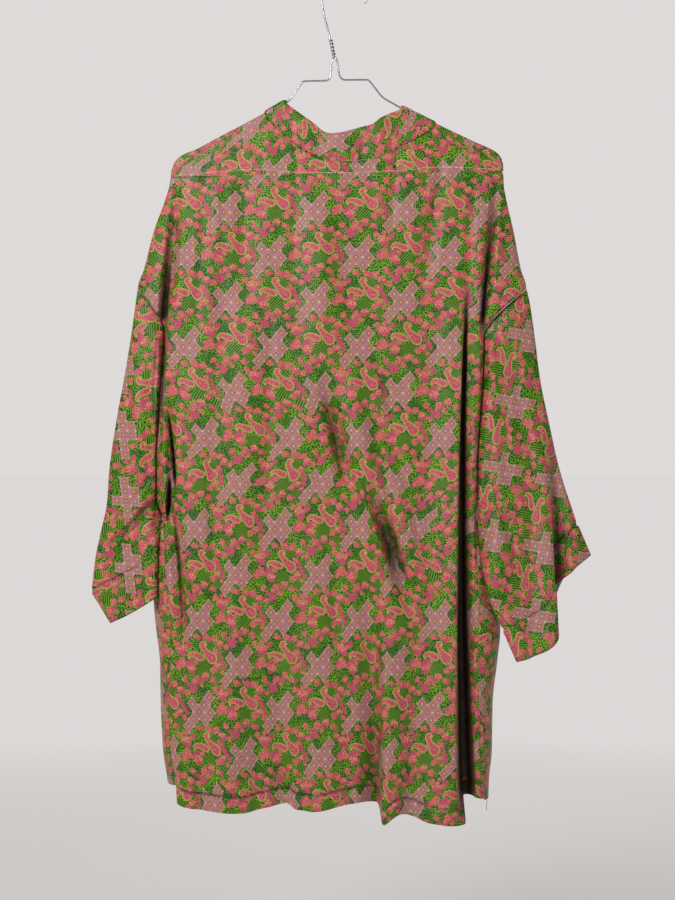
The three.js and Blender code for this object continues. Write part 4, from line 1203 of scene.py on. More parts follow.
        local = self.cell(drawn, self.PAISLEY_CENTRE)
        large = g.circles(local, self.LARGE_PAISLEY, self.PAISLEY_MERGE)
        small = g.circles(local, self.SMALL_PAISLEY, self.PAISLEY_MERGE)
        away = g.math("MINIMUM", large, small)
        beads = g.spots(drawn, *self.BEADS)
        outline = g.mixed(g.math("MULTIPLY_ADD", beads, 0.7, 0.3), c.brown, c.cream)
        rims = (
            (away, 0.9, self.SOFT, c.ground_dark),
            (away, 0.35, self.SOFT, outline),
            (away, -0.55, self.SOFT, c.coral),
            (away, -1.6, 0.3, c.peach),
            (away, -2.0, 0.3, c.magenta),
        )
        colour = g.layered(colour, rims)
        seeds = g.math("MULTIPLY", stipple, g.step(away, -3.2, 0.8))
        colour = g.mixed(seeds, colour, c.peach)

        colour = self.blocks(drawn, colour)
        g.wire(leave.inputs["Colour"], colour)
        grain = g.vector("DOT_PRODUCT", entry.outputs["Place"], (0.0, 1.0, 0.0))
        weft = g.math("SINE", g.math("MULTIPLY", grain, 2 * math.pi / self.WEFT_PITCH))
        stretched = g.vector("MULTIPLY", entry.outputs["Place"], (0.08, 1.2, 1.0))
        slub, _ = g.noise(stretched, 1.0, 2.0)
        g.wire(leave.inputs["Relief"], g.math("MULTIPLY_ADD", weft, 0.2, slub))

    def blocks(self, drawn: object, colour: object) -> object:
        """Lay the blocks of framed squares over the print."""
        g = self.graph
        c = self.colours
        local = self.cell(drawn, (0, 0))
        row = g.vector("DOT_PRODUCT", local, self.ROW_ALONG)
        line = g.vector("DOT_PRODUCT", local, self.LINE_ALONG)
        row_number = g.math("ROUND", row)
        line_number = g.math("ROUND", line)
        row_off = g.math("ABSOLUTE", g.math("SUBTRACT", row, row_number))
        line_off = g.math("ABSOLUTE", g.math("SUBTRACT", line, line_number))
        ring = g.math("MAXIMUM", row_off, line_off)
        inside = 0.0
        for number, middle, reach in self.LINES:
            on_line = g.math("COMPARE", line_number, number, 0.1)
            squares = g.math("MULTIPLY", on_line, g.math("COMPARE", row_number, middle, reach))
            inside = g.math("MAXIMUM", inside, squares)
        parity = g.math("FLOORED_MODULO", g.math("ADD", row_number, line_number), 2.0)
        centre = g.mixed(parity, c.rose, c.lilac)
        petals = g.math("ADD", row_off, line_off)
        corners = g.math("SUBTRACT", 1.0, petals)
        marks = (
            (ring, 0.46, 0.04, c.lilac),
            (ring, 0.3, 0.06, c.olive),
            (petals, 0.2, 0.08, centre),
            (ring, 0.06, 0.04, c.cream),
            (corners, 0.14, 0.05, c.cream),
        )
        return g.mixed(inside, colour, g.layered(c.mauve, marks))


@dataclass(frozen=True)
class SilkFinish:
    """How a face of the silk takes light, with painted shade in its deep folds and at its seams."""

    name: str
    roughness: float
    sheen: float
    paleness: float
    pale: tuple = srgb(196, 180, 164)
    # The painted shade's colour, and the most that it covers the print in the deepest folds.
    shadow: tuple = srgb(14, 8, 8)
    darkest: float = 0.93

    def build(self, printed: SilkPrint) -> bpy.types.Material:
        """Make the material.

        Args:
            printed: The print's node group.

        Returns:
            The material.
        """
        material, g, surface = new_material(self.name)
        where = g.node("ShaderNodeUVMap", uv_map="print")
        drawn = g.node("ShaderNodeGroup", node_tree=printed.group)
        g.wire(drawn.inputs["Place"], where.outputs[0])
        colour = g.mixed(self.paleness, drawn.outputs["Colour"], self.pale)
        # Painted shade: the colour is darkened towards the shadow colour by the fold attribute.
        fold = g.node("ShaderNodeAttribute", attribute_name="painted_fold_shade")
        shade = g.math("MULTIPLY", fold.outputs["Fac"], self.darkest)
        colour = g.mixed(shade, colour, self.shadow)
        bump = g.node("ShaderNodeBump")
        weave = {"Strength": 0.12, "Distance": 0.0002, "Height": drawn.outputs["Relief"]}
        g.feed(bump, weave)
        looks = {
            "Base Color": colour,
            "Normal": bump.outputs[0],
            "Roughness": self.roughness,
            "Specular IOR Level": 0.34,
            "Sheen Weight": self.sheen,
            "Sheen Roughness": 0.35,
            "Sheen Tint": srgb(245, 228, 224),
        }
        g.feed(surface, looks)
        return material


@dataclass(frozen=True)
class PlainFinish:
    """A finish of one colour, a little uneven."""

    name: str
    colour: tuple
    roughness: float
    metallic: float = 0.0
    uneven: float = 0.12

    def build(self) -> bpy.types.Material:
        """Make the material."""
        material, g, surface = new_material(self.name)
        where = g.node("ShaderNodeTexCoord")
        spread = g.node("ShaderNodeTexNoise")
        g.feed(spread, {"Scale": 220.0, "Detail": 3.0, "Vector": where.outputs["Object"]})
        darker = tuple(value * (1 - self.uneven * 2) for value in self.colour[:3]) + (1.0,)
        smoothest = self.roughness - self.uneven / 2
        looks = {
            "Base Color": g.mixed(spread.outputs[0], darker, self.colour),
            "Roughness": g.math("MULTIPLY_ADD", spread.outputs[0], self.uneven, smoothest),
            "Metallic": self.metallic,
        }
        g.feed(surface, looks)
        return material


COLUMN_COUNT = 42
NECK_FIRST = 12
NECK_LAST = 32
COLUMN_SHARES = shares(COLUMN_COUNT, 0.8)
BEND = (0.0, 0.28, 1.0, 2.4)
BEND_PITCH = 0.7
SEAM_ROOM = 0.15
EDGE_EASE = 12
UPPER_ROWS = (290, 316, 346, 382)
ARMHOLE_ROWS = (420, 427, 434, 449, 464, 479, 508, 542, 582, 615, 647, 677, 703, 721)
LOWER_ROWS = (750, 792, 835, 878, 920, 960, 998, 1028, 1048)


class NeckLine:
    """The seam and the edge of the neckband round the back of the neck."""

    def __init__(self) -> None:
        """Set the stations out, with the ones at each end bent over the wire."""
        numbers = list(range(len(BACK_NECK)))
        filled = []
        for row in BACK_NECK:
            seam_drop = row.seam_drop or float(FORM.shoulder(row.seam_x))
            edge_drop = row.edge_drop or float(FORM.shoulder(row.edge_x))
            filled.append(NeckRow(row.seam_x, seam_drop, row.edge_x, edge_drop))
        tracks = tracks_of(numbers, filled)
        stations = []
        last = NECK_LAST - NECK_FIRST
        for k in range(last + 1):
            from_end = min(k, last - k)
            if from_end >= len(BEND):
                place = k / last * (len(BACK_NECK) - 1)
                stations.append(NeckRow(*(float(tracks[name](place)) for name in NeckRow._fields)))
                continue
            near_left = k == from_end
            end = filled[0] if near_left else filled[-1]
            inward = (1 if near_left else -1) * from_end * BEND_PITCH
            seam_x = end.seam_x + inward
            edge_x = end.edge_x + inward
            fall = BEND[from_end] * SEAT
            seam_drop = float(FORM.shoulder(seam_x)) + fall
            edge_drop = float(FORM.shoulder(edge_x)) + fall
            stations.append(NeckRow(seam_x, seam_drop, edge_x, edge_drop))
        self.last = last
        self.tracks = tracks_of(range(last + 1), stations)

    def at(self, station: np.ndarray, name: str) -> np.ndarray:
        """Return one column of the neck line at a station."""
        return self.tracks[name](station)


NECK = NeckLine()


def seam_room(drop: np.ndarray) -> np.ndarray:
    """Return how far a panel's edge keeps from the middle of its seam."""
    return np.where(drop <= ARMHOLE_TOP, 0.0, SEAM_ROOM)


def pucker(along: np.ndarray, away: np.ndarray, seed: int, reach: float = 9.0) -> np.ndarray:
    """Return the small waves that a line of stitches draws the cloth into."""
    wave = soft_noise(along / 5.5, away / 40, seed) + 0.6 * soft_noise(along / 13, away / 60, seed + 1)
    return wave * np.exp(-np.abs(away) / reach)


class BackPanels:
    """The yoke and the back below it."""

    COLUMNS = 184
    YOKE_ROWS = 34
    STEP = 3.7
    SEAM_PUCKER = 0.55
    HEM_FROM = 900
    HEM_TURN = 20
    HEM_PUCKER = 1.9
    HEM_STEP = 0.9
    HEM_GROOVE = 2.0
    HEM_ROLL = 1.6

    def __init__(self) -> None:
        """Lay the two grids out."""
        self.share = shares(self.COLUMNS, 0.72)

    def yoke(self) -> np.ndarray:
        """Return the yoke's grid, from the shoulder and neck seams down to its own seam."""
        share = self.share
        first = COLUMN_SHARES[NECK_FIRST]
        last = COLUMN_SHARES[NECK_LAST]
        station = np.interp(share, COLUMN_SHARES, np.arange(COLUMN_COUNT + 1)) - NECK_FIRST
        left_x = mix(SHOULDER[0].x, float(NECK.at(0, "seam_x")), share / first)
        right_x = mix(SHOULDER[-1].x, float(NECK.at(NECK.last, "seam_x")), (1 - share) / (1 - last))
        neck_x = NECK.at(station, "seam_x")
        neck_drop = NECK.at(station, "seam_drop") + SEAM_GAP
        top_x = np.where(share < first, left_x, np.where(share > last, right_x, neck_x))
        on_wire = (share < first) | (share > last)
        top_drop = np.where(on_wire, FORM.shoulder(top_x), neck_drop)
        foot = mix(FORM.sides["left"](YOKE_SEAM), FORM.sides["right"](YOKE_SEAM), share)
        bottom = FORM.yoke_drop(foot) - SEAM_GAP / 2
        levels = refine(WIRE_WRAP, 0.3)
        down = np.linspace(0, 1, self.YOKE_ROWS - len(levels) + 1)[1:]
        rows = []
        for level in levels:
            rows.append((top_x, np.minimum(bottom, top_drop + SEAT * level)))
        x0, drop0 = rows[-1]
        for t in down:
            rows.append((mix(x0, foot, t), mix(drop0, bottom, t)))
        x = np.array([row[0] for row in rows])
        drop = np.array([row[1] for row in rows])
        grid = FORM.point(x, drop, Face.BACK)
        grid[:, [0, -1], 1] = -SEAM_GAP / 2
        grid[0, on_wire, 1] = -SEAM_GAP / 2
        away = FORM.yoke_drop(x) - drop
        clear = ease((drop - drop[0]) / EDGE_EASE)
        grid[..., 1] -= self.SEAM_PUCKER * pucker(x, away, 31) * clear
        return grid[:, ::-1]

    def back(self) -> np.ndarray:
        """Return the back's grid, from the yoke's seam to the hem."""
        heights = (YOKE_SEAM, *UPPER_ROWS, *ARMHOLE_ROWS, *LOWER_ROWS, BACK_HEM)
        levels = refine(heights, self.STEP)
        level = np.repeat(levels[:, None], self.COLUMNS + 1, axis=1)
        room = seam_room(level)
        left = FORM.sides["left_seam"](level) + room
        right = FORM.sides["right_seam"](level) - room
        x = mix(left, right, self.share[None, :])
        hemmed = level + FORM.hem(x) * ease((level - self.HEM_FROM) / (BACK_HEM - self.HEM_FROM))
        top = FORM.yoke_drop(x) + SEAM_GAP / 2
        below_top = (level - YOKE_SEAM) / (UPPER_ROWS[0] - YOKE_SEAM)
        drop = np.where(level < UPPER_ROWS[0], mix(top, hemmed, below_top), hemmed)
        grid = FORM.point(x, drop, Face.BACK)
        closed = (levels <= ARMHOLE_TOP) | (np.abs(levels - UNDERARM) < 0.01)
        for edge in (0, -1):
            grid[closed, edge, 1] = -SEAM_GAP / 2
        inner = ease(np.minimum(x - left, right - x) / EDGE_EASE)
        away = drop - FORM.yoke_drop(x)
        below = BACK_HEM + FORM.hem(x) - self.HEM_TURN - drop
        grid[..., 1] -= self.SEAM_PUCKER * inner * pucker(x, away, 31)
        grid[..., 1] -= self.HEM_PUCKER * inner * pucker(x, below, 37)
        grid[..., 1] -= self.HEM_STEP * inner * ease(-below / 1.5)
        grid[..., 1] += self.HEM_GROOVE * inner * bell(below / 2.0)
        grid[..., 1] += self.HEM_ROLL * inner * ease((-below - 16) / 4)
        return grid[:, ::-1]


def front_rows() -> tuple[np.ndarray, np.ndarray]:
    """Return a front's rows, each as a share of the shoulder line's drop and a height to add."""
    weights = []
    heights = []
    for level in refine(WIRE_WRAP, 0.32):
        weights.append(1.0)
        heights.append(SEAT * level)
    for t in np.linspace(0, 1, 26)[1:-1]:
        weights.append(1 - t)
        heights.append((1 - t) * SEAT * WIRE_WRAP[-1] + UPPER_ROWS[0] * t)
    for row in refine((*UPPER_ROWS, *ARMHOLE_ROWS, *LOWER_ROWS, FRONT_HEM), 3.9):
        weights.append(0.0)
        heights.append(row)
    return np.array(weights)[:, None], np.array(heights)[:, None]


def side_hem_fall(x: np.ndarray) -> np.ndarray:
    """Return how much lower the right front hangs towards its side."""
    return SIDE_HEM_FALL * ease((x - 128) / 48)


class FrontPanel:
    """One front, from the wire down to the hem, with its lap round to the back below the sleeve."""

    COLUMNS = 92
    START_X = 150.0
    HEM_TURN = 18
    HEM_PUCKER = 0.6
    HEM_GROOVE = 0.45

    def __init__(self, name: str) -> None:
        """Choose the side.

        Args:
            name: left or right.
        """
        self.name = name
        self.turn = side_sign(name)
        self.band = columns(BANDS[name], "drop")

    def grid(self) -> np.ndarray:
        """Return the front's grid, from its outer edge to the neckband's seam."""
        weight, height = front_rows()
        share = np.linspace(0, 1, self.COLUMNS + 1)[None, :]
        x = np.full((len(weight), self.COLUMNS + 1), self.turn * self.START_X)
        q = x
        drop = x
        for _ in range(3):
            drop = weight * FORM.shoulder(x) + height
            hem_run = FRONT_HEM - LOWER_ROWS[-1]
            drop = drop + side_hem_fall(x) * np.clip((drop - LOWER_ROWS[-1]) / hem_run, 0, 1)
            outer = FORM.sides[self.name](drop)
            seam = FORM.sides[f"{self.name}_seam"](drop)
            band_seam = self.band["seam"](drop) + self.turn * SEAM_GAP / 2
            width = band_seam - outer
            wrap = np.where(drop > UNDERARM, np.sqrt(np.maximum(0, (seam - outer) / width)), 0.0)
            q = mix(-wrap, 1, share)
            x = outer + width * q * q
            armhole = (drop > ARMHOLE_TOP) & (drop <= UNDERARM)
            x = np.where(armhole, x - self.turn * seam_room(drop) * (1 - share) ** 4, x)
            x[:, 0] += np.where(drop[:, 0] > UNDERARM, self.turn * SEAM_ROOM, 0.0)
        on_back = FORM.point(x, drop, Face.BACK)
        on_front = FORM.point(x, drop, Face.FRONT)
        grid = np.where((q < 0)[..., None], on_back, on_front)
        level = drop[:, 0]
        outline = (level <= ARMHOLE_TOP) | (np.abs(level - UNDERARM) < 0.01)
        grid[outline, 0, 1] = SEAM_GAP / 2
        grid[0, :, 1] = SEAM_GAP / 2
        below = FRONT_HEM + side_hem_fall(x) - self.HEM_TURN - drop
        inner = np.where(q > 0, ease(np.abs(x - outer) / EDGE_EASE), 0.0)
        grid[..., 1] += self.HEM_PUCKER * inner * pucker(x, below, 47, 7.0)
        grid[..., 1] -= self.HEM_GROOVE * inner * bell(below / 1.1)
        return grid if self.turn < 0 else grid[:, ::-1]


class Neckband:
    """The band up one front, round the back of the neck and down the other front."""

    ACROSS = 16
    START_X = 110.0

    def grid(self) -> np.ndarray:
        """Return the band's grid, one row to a station along it."""
        lift = (BAND - CLOTH) / 2
        across = np.linspace(0, 1, self.ACROSS + 1)[None, :]
        parts = []
        for name, table in BANDS.items():
            sign = side_sign(name)
            band = columns(table, "drop")
            weight, height = (part[1:] for part in front_rows())
            x = np.full_like(weight, sign * self.START_X)
            drop = x
            for _ in range(4):
                drop = weight * FORM.shoulder(x) + height
                x = band["seam"](drop)
            seam_x = x - sign * SEAM_GAP / 2
            fall = drop - FORM.shoulder(x)
            px = mix(seam_x, band["edge"](drop), across)
            wanted = drop - band["rise"](drop) * across * ease(fall / 20)
            held = FORM.shoulder(px) + fall
            py = mix(held, wanted, ease(fall / 30))
            rows = FORM.point(px, py, Face.FRONT, lift)
            parts.append(rows[::-1] if name == "left" else rows)
        station = refine(range(NECK.last + 1), 0.125)[:, None]
        x = mix(NECK.at(station, "seam_x"), NECK.at(station, "edge_x"), across)
        straight = mix(NECK.at(station, "seam_drop"), NECK.at(station, "edge_drop"), across)
        neck = FORM.point(x, straight, Face.BACK, lift)
        for over in (0, -1):
            neck[over, :, 1] = 0.0
            neck[over, :, 2] = -straight[over] + lift
        strip = np.concatenate([parts[0], neck, parts[1]])[:, ::-1]
        return self.plump(strip, across)

    @staticmethod
    def plump(strip: np.ndarray, across: np.ndarray) -> np.ndarray:
        """Give the folded band its soft fullness and its pulled stitches."""
        normal = normals_of(strip, False)
        along = strip_lengths(strip, 0)
        full = 1.5 * (1 - (2 * across - 1) ** 8)
        drawn = 0.45 * soft_noise(along / 7, across * 3 + 0 * along, 51)
        slack = 0.7 * soft_noise(along / 31, across * 2 + 0 * along, 52)
        return strip + normal * (full + (drawn + slack) * (1 - (2 * across - 1) ** 4))[..., None]


class PathPoint(NamedTuple):
    """A place on a sleeve's outline."""

    x: float
    drop: float


class OutlinePath:
    """A line through places, read by the share of its length."""

    def __init__(self, points: Sequence[PathPoint]) -> None:
        """Measure the line."""
        x = np.array([p.x for p in points])
        drop = np.array([p.drop for p in points])
        length = running_share(x, drop)
        self.x = Track(length, x)
        self.drop = Track(length, drop)
        self.first = points[0]
        self.last = points[-1]


def path(*places: tuple[float, float]) -> OutlinePath:
    """Return the outline path through some places."""
    return OutlinePath([PathPoint(*place) for place in places])


@dataclass
class Sleeve:
    """A sleeve and its cuff, which hang from an armhole."""

    side: str
    outer: OutlinePath
    inner: OutlinePath
    cuff: OutlinePath
    hem: OutlinePath
    forward: float
    depth: float
    back_folds: tuple[Fold, ...]
    front_folds: tuple[Fold, ...]
    print_turn: float
    print_at: tuple[float, float]
    print_stretch: tuple[float, float] = (1.0, 1.0)
    half_columns: int = 92
    SEAM_REACH = 2.2
    SEAM_DIP = 1.2
    LIP_RISE = 2.5

    def starts(self) -> tuple[np.ndarray, np.ndarray, np.ndarray, np.ndarray]:
        """Return the armhole's points: their shares of its length, places, drops and slits."""
        drop = refine(ARMHOLE_ROWS, 1.5)
        x = FORM.sides[self.side](drop) + side_sign(self.side) * seam_room(drop)
        length = running_share(x, drop)
        share = shares(self.half_columns, 0.9)
        slit = FORM.sides["slit"](drop)
        return share, *(np.interp(share, length, values) for values in (x, drop, slit))

    def half(self, down: np.ndarray, face: Face) -> np.ndarray:
        """Return the points of the sleeve's back or front half.

        Args:
            down: From 0 at the armhole to 1 at the cuff's seam and 2 at its edge.
            face: Which half.

        Returns:
            The points, one row to a value of down.
        """
        w, top_x, top_drop, slit = self.starts()
        down = down[:, None]
        r = np.minimum(1.0, down)
        corners = {}
        for name, top in (("x", top_x), ("drop", top_drop)):
            ruled = mix(top, getattr(self.cuff, name)(w), r)
            ruled = ruled + mix(getattr(self.outer, name)(r), getattr(self.inner, name)(r), w)
            a = mix(getattr(self.outer.first, name), getattr(self.outer.last, name), r)
            b = mix(getattr(self.inner.first, name), getattr(self.inner.last, name), r)
            lower = getattr(self.hem, name)(w)
            corners[name] = mix(ruled - mix(a, b, w), lower, np.maximum(0.0, down - 1))
        x = corners["x"]
        drop = corners["drop"]
        ends = np.sqrt(np.maximum(0.0, 1 - (2 * w - 1) ** 4))
        settled = ease(r / 0.09)
        back = face is Face.BACK
        rise, lean = folded(self.back_folds if back else self.front_folds, x, drop)
        seed = (61 if back else 62) + (0 if self.side == "left" else 4)
        slack = 1.6 * soft_noise(x / 17, drop / 55, seed) + 0.7 * soft_noise(x / 9, drop / 23, seed + 2)
        full = (self.depth + rise + slack * settled) * ends
        half = mix(slit, full, settled)
        centre = -self.forward * w * w * ease(r / 0.7)
        return np.stack([x + lean * ends, centre + face.value * half, -drop], axis=-1)

    def rings(self, down: np.ndarray) -> tuple[np.ndarray, np.ndarray]:
        """Return the grid of rings and each point's place in the print."""
        back = self.half(down, Face.BACK)
        front = self.half(down, Face.FRONT)
        ring = np.concatenate([back, front[:, -2:0:-1]], axis=1)
        mirrored = np.concatenate([back, front[:, ::-1]], axis=1)
        x = mirrored[..., 0]
        z = mirrored[..., 2]
        middle = (back[..., 1] + front[..., 1]).mean(axis=1, keepdims=True)
        deep = np.abs(mirrored[..., 1] - middle) * 0.5
        along = np.linspace(0, 1, 60)
        outer_x = np.interp(-z, np.sort(self.outer.drop(along)), self.outer.x(along))
        side = np.where(np.arange(mirrored.shape[1]) < back.shape[1], 1.0, -1.0)
        turn_by = side_sign(self.side)
        away = (outer_x - x) * turn_by + deep * 0.4
        flat_x = outer_x - turn_by * side * away
        local_x = (flat_x - self.print_at[0]) * self.print_stretch[0]
        local_z = (z + self.print_at[1]) * self.print_stretch[1]
        origin = SilkPrint.ORIGIN[:2]
        places = turn(np.stack([local_x, local_z], axis=-1), -self.print_turn, origin)
        if self.side == "left":
            ring = np.concatenate([ring[:, :1], ring[:, :0:-1]], axis=1)
            places = places[:, ::-1]
        return ring, places

    def build(self, right_side: bpy.types.Material, wrong_side: bpy.types.Material) -> None:
        """Make the sleeve and its cuff."""
        upper = np.unique(np.concatenate([np.linspace(0, 0.12, 14), np.linspace(0.12, 0.997, 84)]))
        lower = np.unique(np.concatenate([np.linspace(1.008, 1.12, 6), np.linspace(1.12, 2, 20)]))
        for part, down in (("sleeve", upper), ("cuff", lower)):
            ring, places = self.rings(down)
            normal = normals_of(ring, True)
            length = strip_lengths(np.concatenate([ring, ring[:, :1]], axis=1), 0)[:, :-1]
            seam = bell(length / self.SEAM_REACH)
            if part == "sleeve":
                seam = np.maximum(seam, bell((length[-1:] - length) / self.SEAM_REACH))
            ring = ring - normal * (self.SEAM_DIP * seam)[..., None]
            if part == "cuff":
                lip = 2 * ring[:1] - ring[1:2] - normal[:1] * self.SEAM_DIP
                lip[..., 2] += self.LIP_RISE
                ring = np.concatenate([lip, ring])
                normal = np.concatenate([normal[:1], normal])
                length = np.concatenate([length[:1], length])
                places = np.concatenate([places[:1], places])
                drawn = 0.5 * pucker(strip_lengths(ring, 1), length, 71)
                ring = ring + normal * (drawn + 0.9 * ease(length / 2.5))[..., None]
            node = f"{part}_{self.side}"
            panel = SleevePanel(node, grid=ring, closed=True, laid=places)
            panel.build(right_side, wrong_side)


@dataclass
class SleevePanel(Panel):
    """A tube of silk with its print laid out beforehand."""

    laid: np.ndarray = field(default_factory=lambda: np.zeros((2, 2, 2)))

    def places(self) -> np.ndarray:
        """Return the places that were laid out."""
        return self.laid


LEFT_SLEEVE = Sleeve(
    side="left",
    outer=path(
        (-268, 420), (-272, 451), (-277, 486), (-286, 540), (-295, 589), (-305, 658), (-308, 700),
        (-315, 733), (-323, 772), (-328, 814),
    ),
    inner=path((-236.9, 721), (-238, 731), (-240, 747), (-241, 763)),
    cuff=path((-328, 814), (-296, 796), (-268, 781), (-241, 763)),
    hem=path((-303, 855), (-284, 846), (-262, 834), (-242, 821)),
    forward=24,
    depth=17,
    back_folds=(
        Fold("elbow crease", 690, 762, -238, -306, 0, 12, 15, (-3, -8, 0)),
        Fold("upper sleeve ridge", 490, 780, -255, -272, -6, 15, 22, (0, 6, 0)),
        Fold("lower sleeve ridge", 745, 870, -292, -278, 0, 20, 22, (0, 4, 3)),
        Fold("crease above the elbow", 660, 735, -248, -296, 0, 7, 9, (-1, -2, 0)),
        Fold("crease at the elbow", 715, 790, -256, -318, 0, 6, 8, (2, 3, 0)),
    ),
    front_folds=(
        Fold("long trough", 535, 870, -262, -284, -4, 16, 22, (0, -7, -6)),
        Fold("long ridge", 615, 870, -255, -258, 0, 14, 18, (0, 6, 5)),
    ),
    print_turn=47,
    print_at=(-283.4, 612.3),
    print_stretch=(1.04, 0.95),
)

RIGHT_SLEEVE = Sleeve(
    side="right",
    outer=path(
        (237, 420), (241, 438), (248, 486), (255, 540), (263, 580), (270, 612), (277, 644),
        (286, 676), (295, 703), (303, 727),
    ),
    inner=path((173.9, 721), (175, 745), (178, 775), (184, 810), (192, 836), (204, 861)),
    cuff=path((303, 727), (285, 746), (270, 778), (257, 818), (242, 842), (224, 852), (204, 861)),
    hem=path((320, 767), (297, 785), (280, 813), (268, 855), (253, 884), (238, 897), (222, 902)),
    forward=34,
    depth=18,
    back_folds=(
        Fold("near lap", 575, 945, 256, 258, 0, 15, 19, (0, 7, 8), 0, 17),
        Fold("far hollow", 565, 945, 277, 280, 0, 13, 18, (0, -19, -22), 0, -15),
        Fold("inner sleeve ridge", 515, 815, 194, 204, -3, 14, 18, (0, 4, 0)),
        Fold("underarm drag", 640, 800, 184, 236, -4, 7, 10, (0, -3, 0)),
        Fold("upper drag", 470, 640, 212, 232, 3, 7, 10, (0, -2.4, 0)),
        Fold("outer drag", 500, 720, 236, 262, -3, 6, 9, (0, 2.2, 0)),
    ),
    front_folds=(
        Fold("long trough", 555, 945, 214, 250, 4, 18, 26, (0, -7, -8)),
        Fold("long ridge", 575, 945, 238, 282, 2, 14, 20, (0, 6, 5)),
    ),
    print_turn=-57,
    print_at=(202.8, 653.9),
    print_stretch=(1.14, 0.92),
)


def smooth_line(points: Sequence[Sequence[float]], steps: int) -> np.ndarray:
    """Return a smooth line through points, with some steps between each two."""
    p = np.asarray(points, float)
    p = np.concatenate([[2 * p[0] - p[1]], p, [2 * p[-1] - p[-2]]])
    knots = np.concatenate([[0], np.cumsum(np.linalg.norm(np.diff(p, axis=0), axis=1) ** 0.5)])
    out = []
    for i in range(1, len(p) - 2):
        t0, t1, t2, t3 = knots[i - 1 : i + 3]
        t = np.linspace(t1, t2, steps, endpoint=False)[:, None]
        a1 = (t1 - t) / (t1 - t0) * p[i - 1] + (t - t0) / (t1 - t0) * p[i]
        a2 = (t2 - t) / (t2 - t1) * p[i] + (t - t1) / (t2 - t1) * p[i + 1]
        a3 = (t3 - t) / (t3 - t2) * p[i + 1] + (t - t2) / (t3 - t2) * p[i + 2]
        b1 = (t2 - t) / (t2 - t0) * a1 + (t - t0) / (t2 - t0) * a2
        b2 = (t3 - t) / (t3 - t1) * a2 + (t - t1) / (t3 - t1) * a3
        out.append((t2 - t) / (t2 - t1) * b1 + (t - t1) / (t2 - t1) * b2)
    out.append(p[-2][None, :])
    return np.concatenate(out)


def tube(line: np.ndarray, radii: np.ndarray, sides: int) -> tuple[np.ndarray, np.ndarray]:
    """Return the points and faces of a round tube along a line, closed at both ends.

    Args:
        line: Points along the middle.
        radii: The radius at each point.
        sides: How many sides the tube has.

    Returns:
        The points and the four-cornered faces.
    """
    tangent = np.gradient(line, axis=0)
    tangent /= np.linalg.norm(tangent, axis=1, keepdims=True)
    across = np.cross(tangent[0], (0.0, 1.0, 0.0))
    if np.linalg.norm(across) < 0.1:
        across = np.cross(tangent[0], (1.0, 0.0, 0.0))
    frames = []
    for direction in tangent:
        across = across - direction * across.dot(direction)
        across = across / np.linalg.norm(across)
        frames.append(across)
    first = np.array(frames)
    second = np.cross(tangent, first)
    angle = np.arange(sides) * 2 * math.pi / sides
    circle = first[:, None, :] * np.cos(angle)[None, :, None]
    circle = circle + second[:, None, :] * np.sin(angle)[None, :, None]
    points = line[:, None, :] + circle * radii[:, None, None]
    rows = len(line)
    index = np.arange(rows * sides).reshape(rows, sides)
    after = np.roll(index, -1, axis=1)
    walls = np.stack([index[:-1], index[1:], after[1:], after[:-1]], axis=-1).reshape(-1, 4)
    caps = []
    half = sides // 2
    for ring, flip in ((index[0], False), (index[-1], True)):
        for k in range(half - 1):
            cap = [ring[k], ring[k + 1], ring[sides - 2 - k], ring[sides - 1 - k]]
            caps.append(cap[::-1] if flip else cap)
    return points.reshape(-1, 3), np.concatenate([walls, np.array(caps)])


def capped(line: np.ndarray, radius: float) -> tuple[np.ndarray, np.ndarray]:
    """Return a line and its radii with both ends rounded."""
    start = line[0] - line[1]
    start /= np.linalg.norm(start)
    end = line[-1] - line[-2]
    end /= np.linalg.norm(end)
    rise = np.array([0.5, 0.85])
    sizes = np.array([0.86, 0.5])
    before = line[0] + start * radius * rise[::-1, None]
    after = line[-1] + end * radius * rise[:, None]
    full = np.concatenate([before, line, after])
    radii = np.full(len(line), radius)
    return full, np.concatenate([radius * sizes[::-1], radii, radius * sizes])


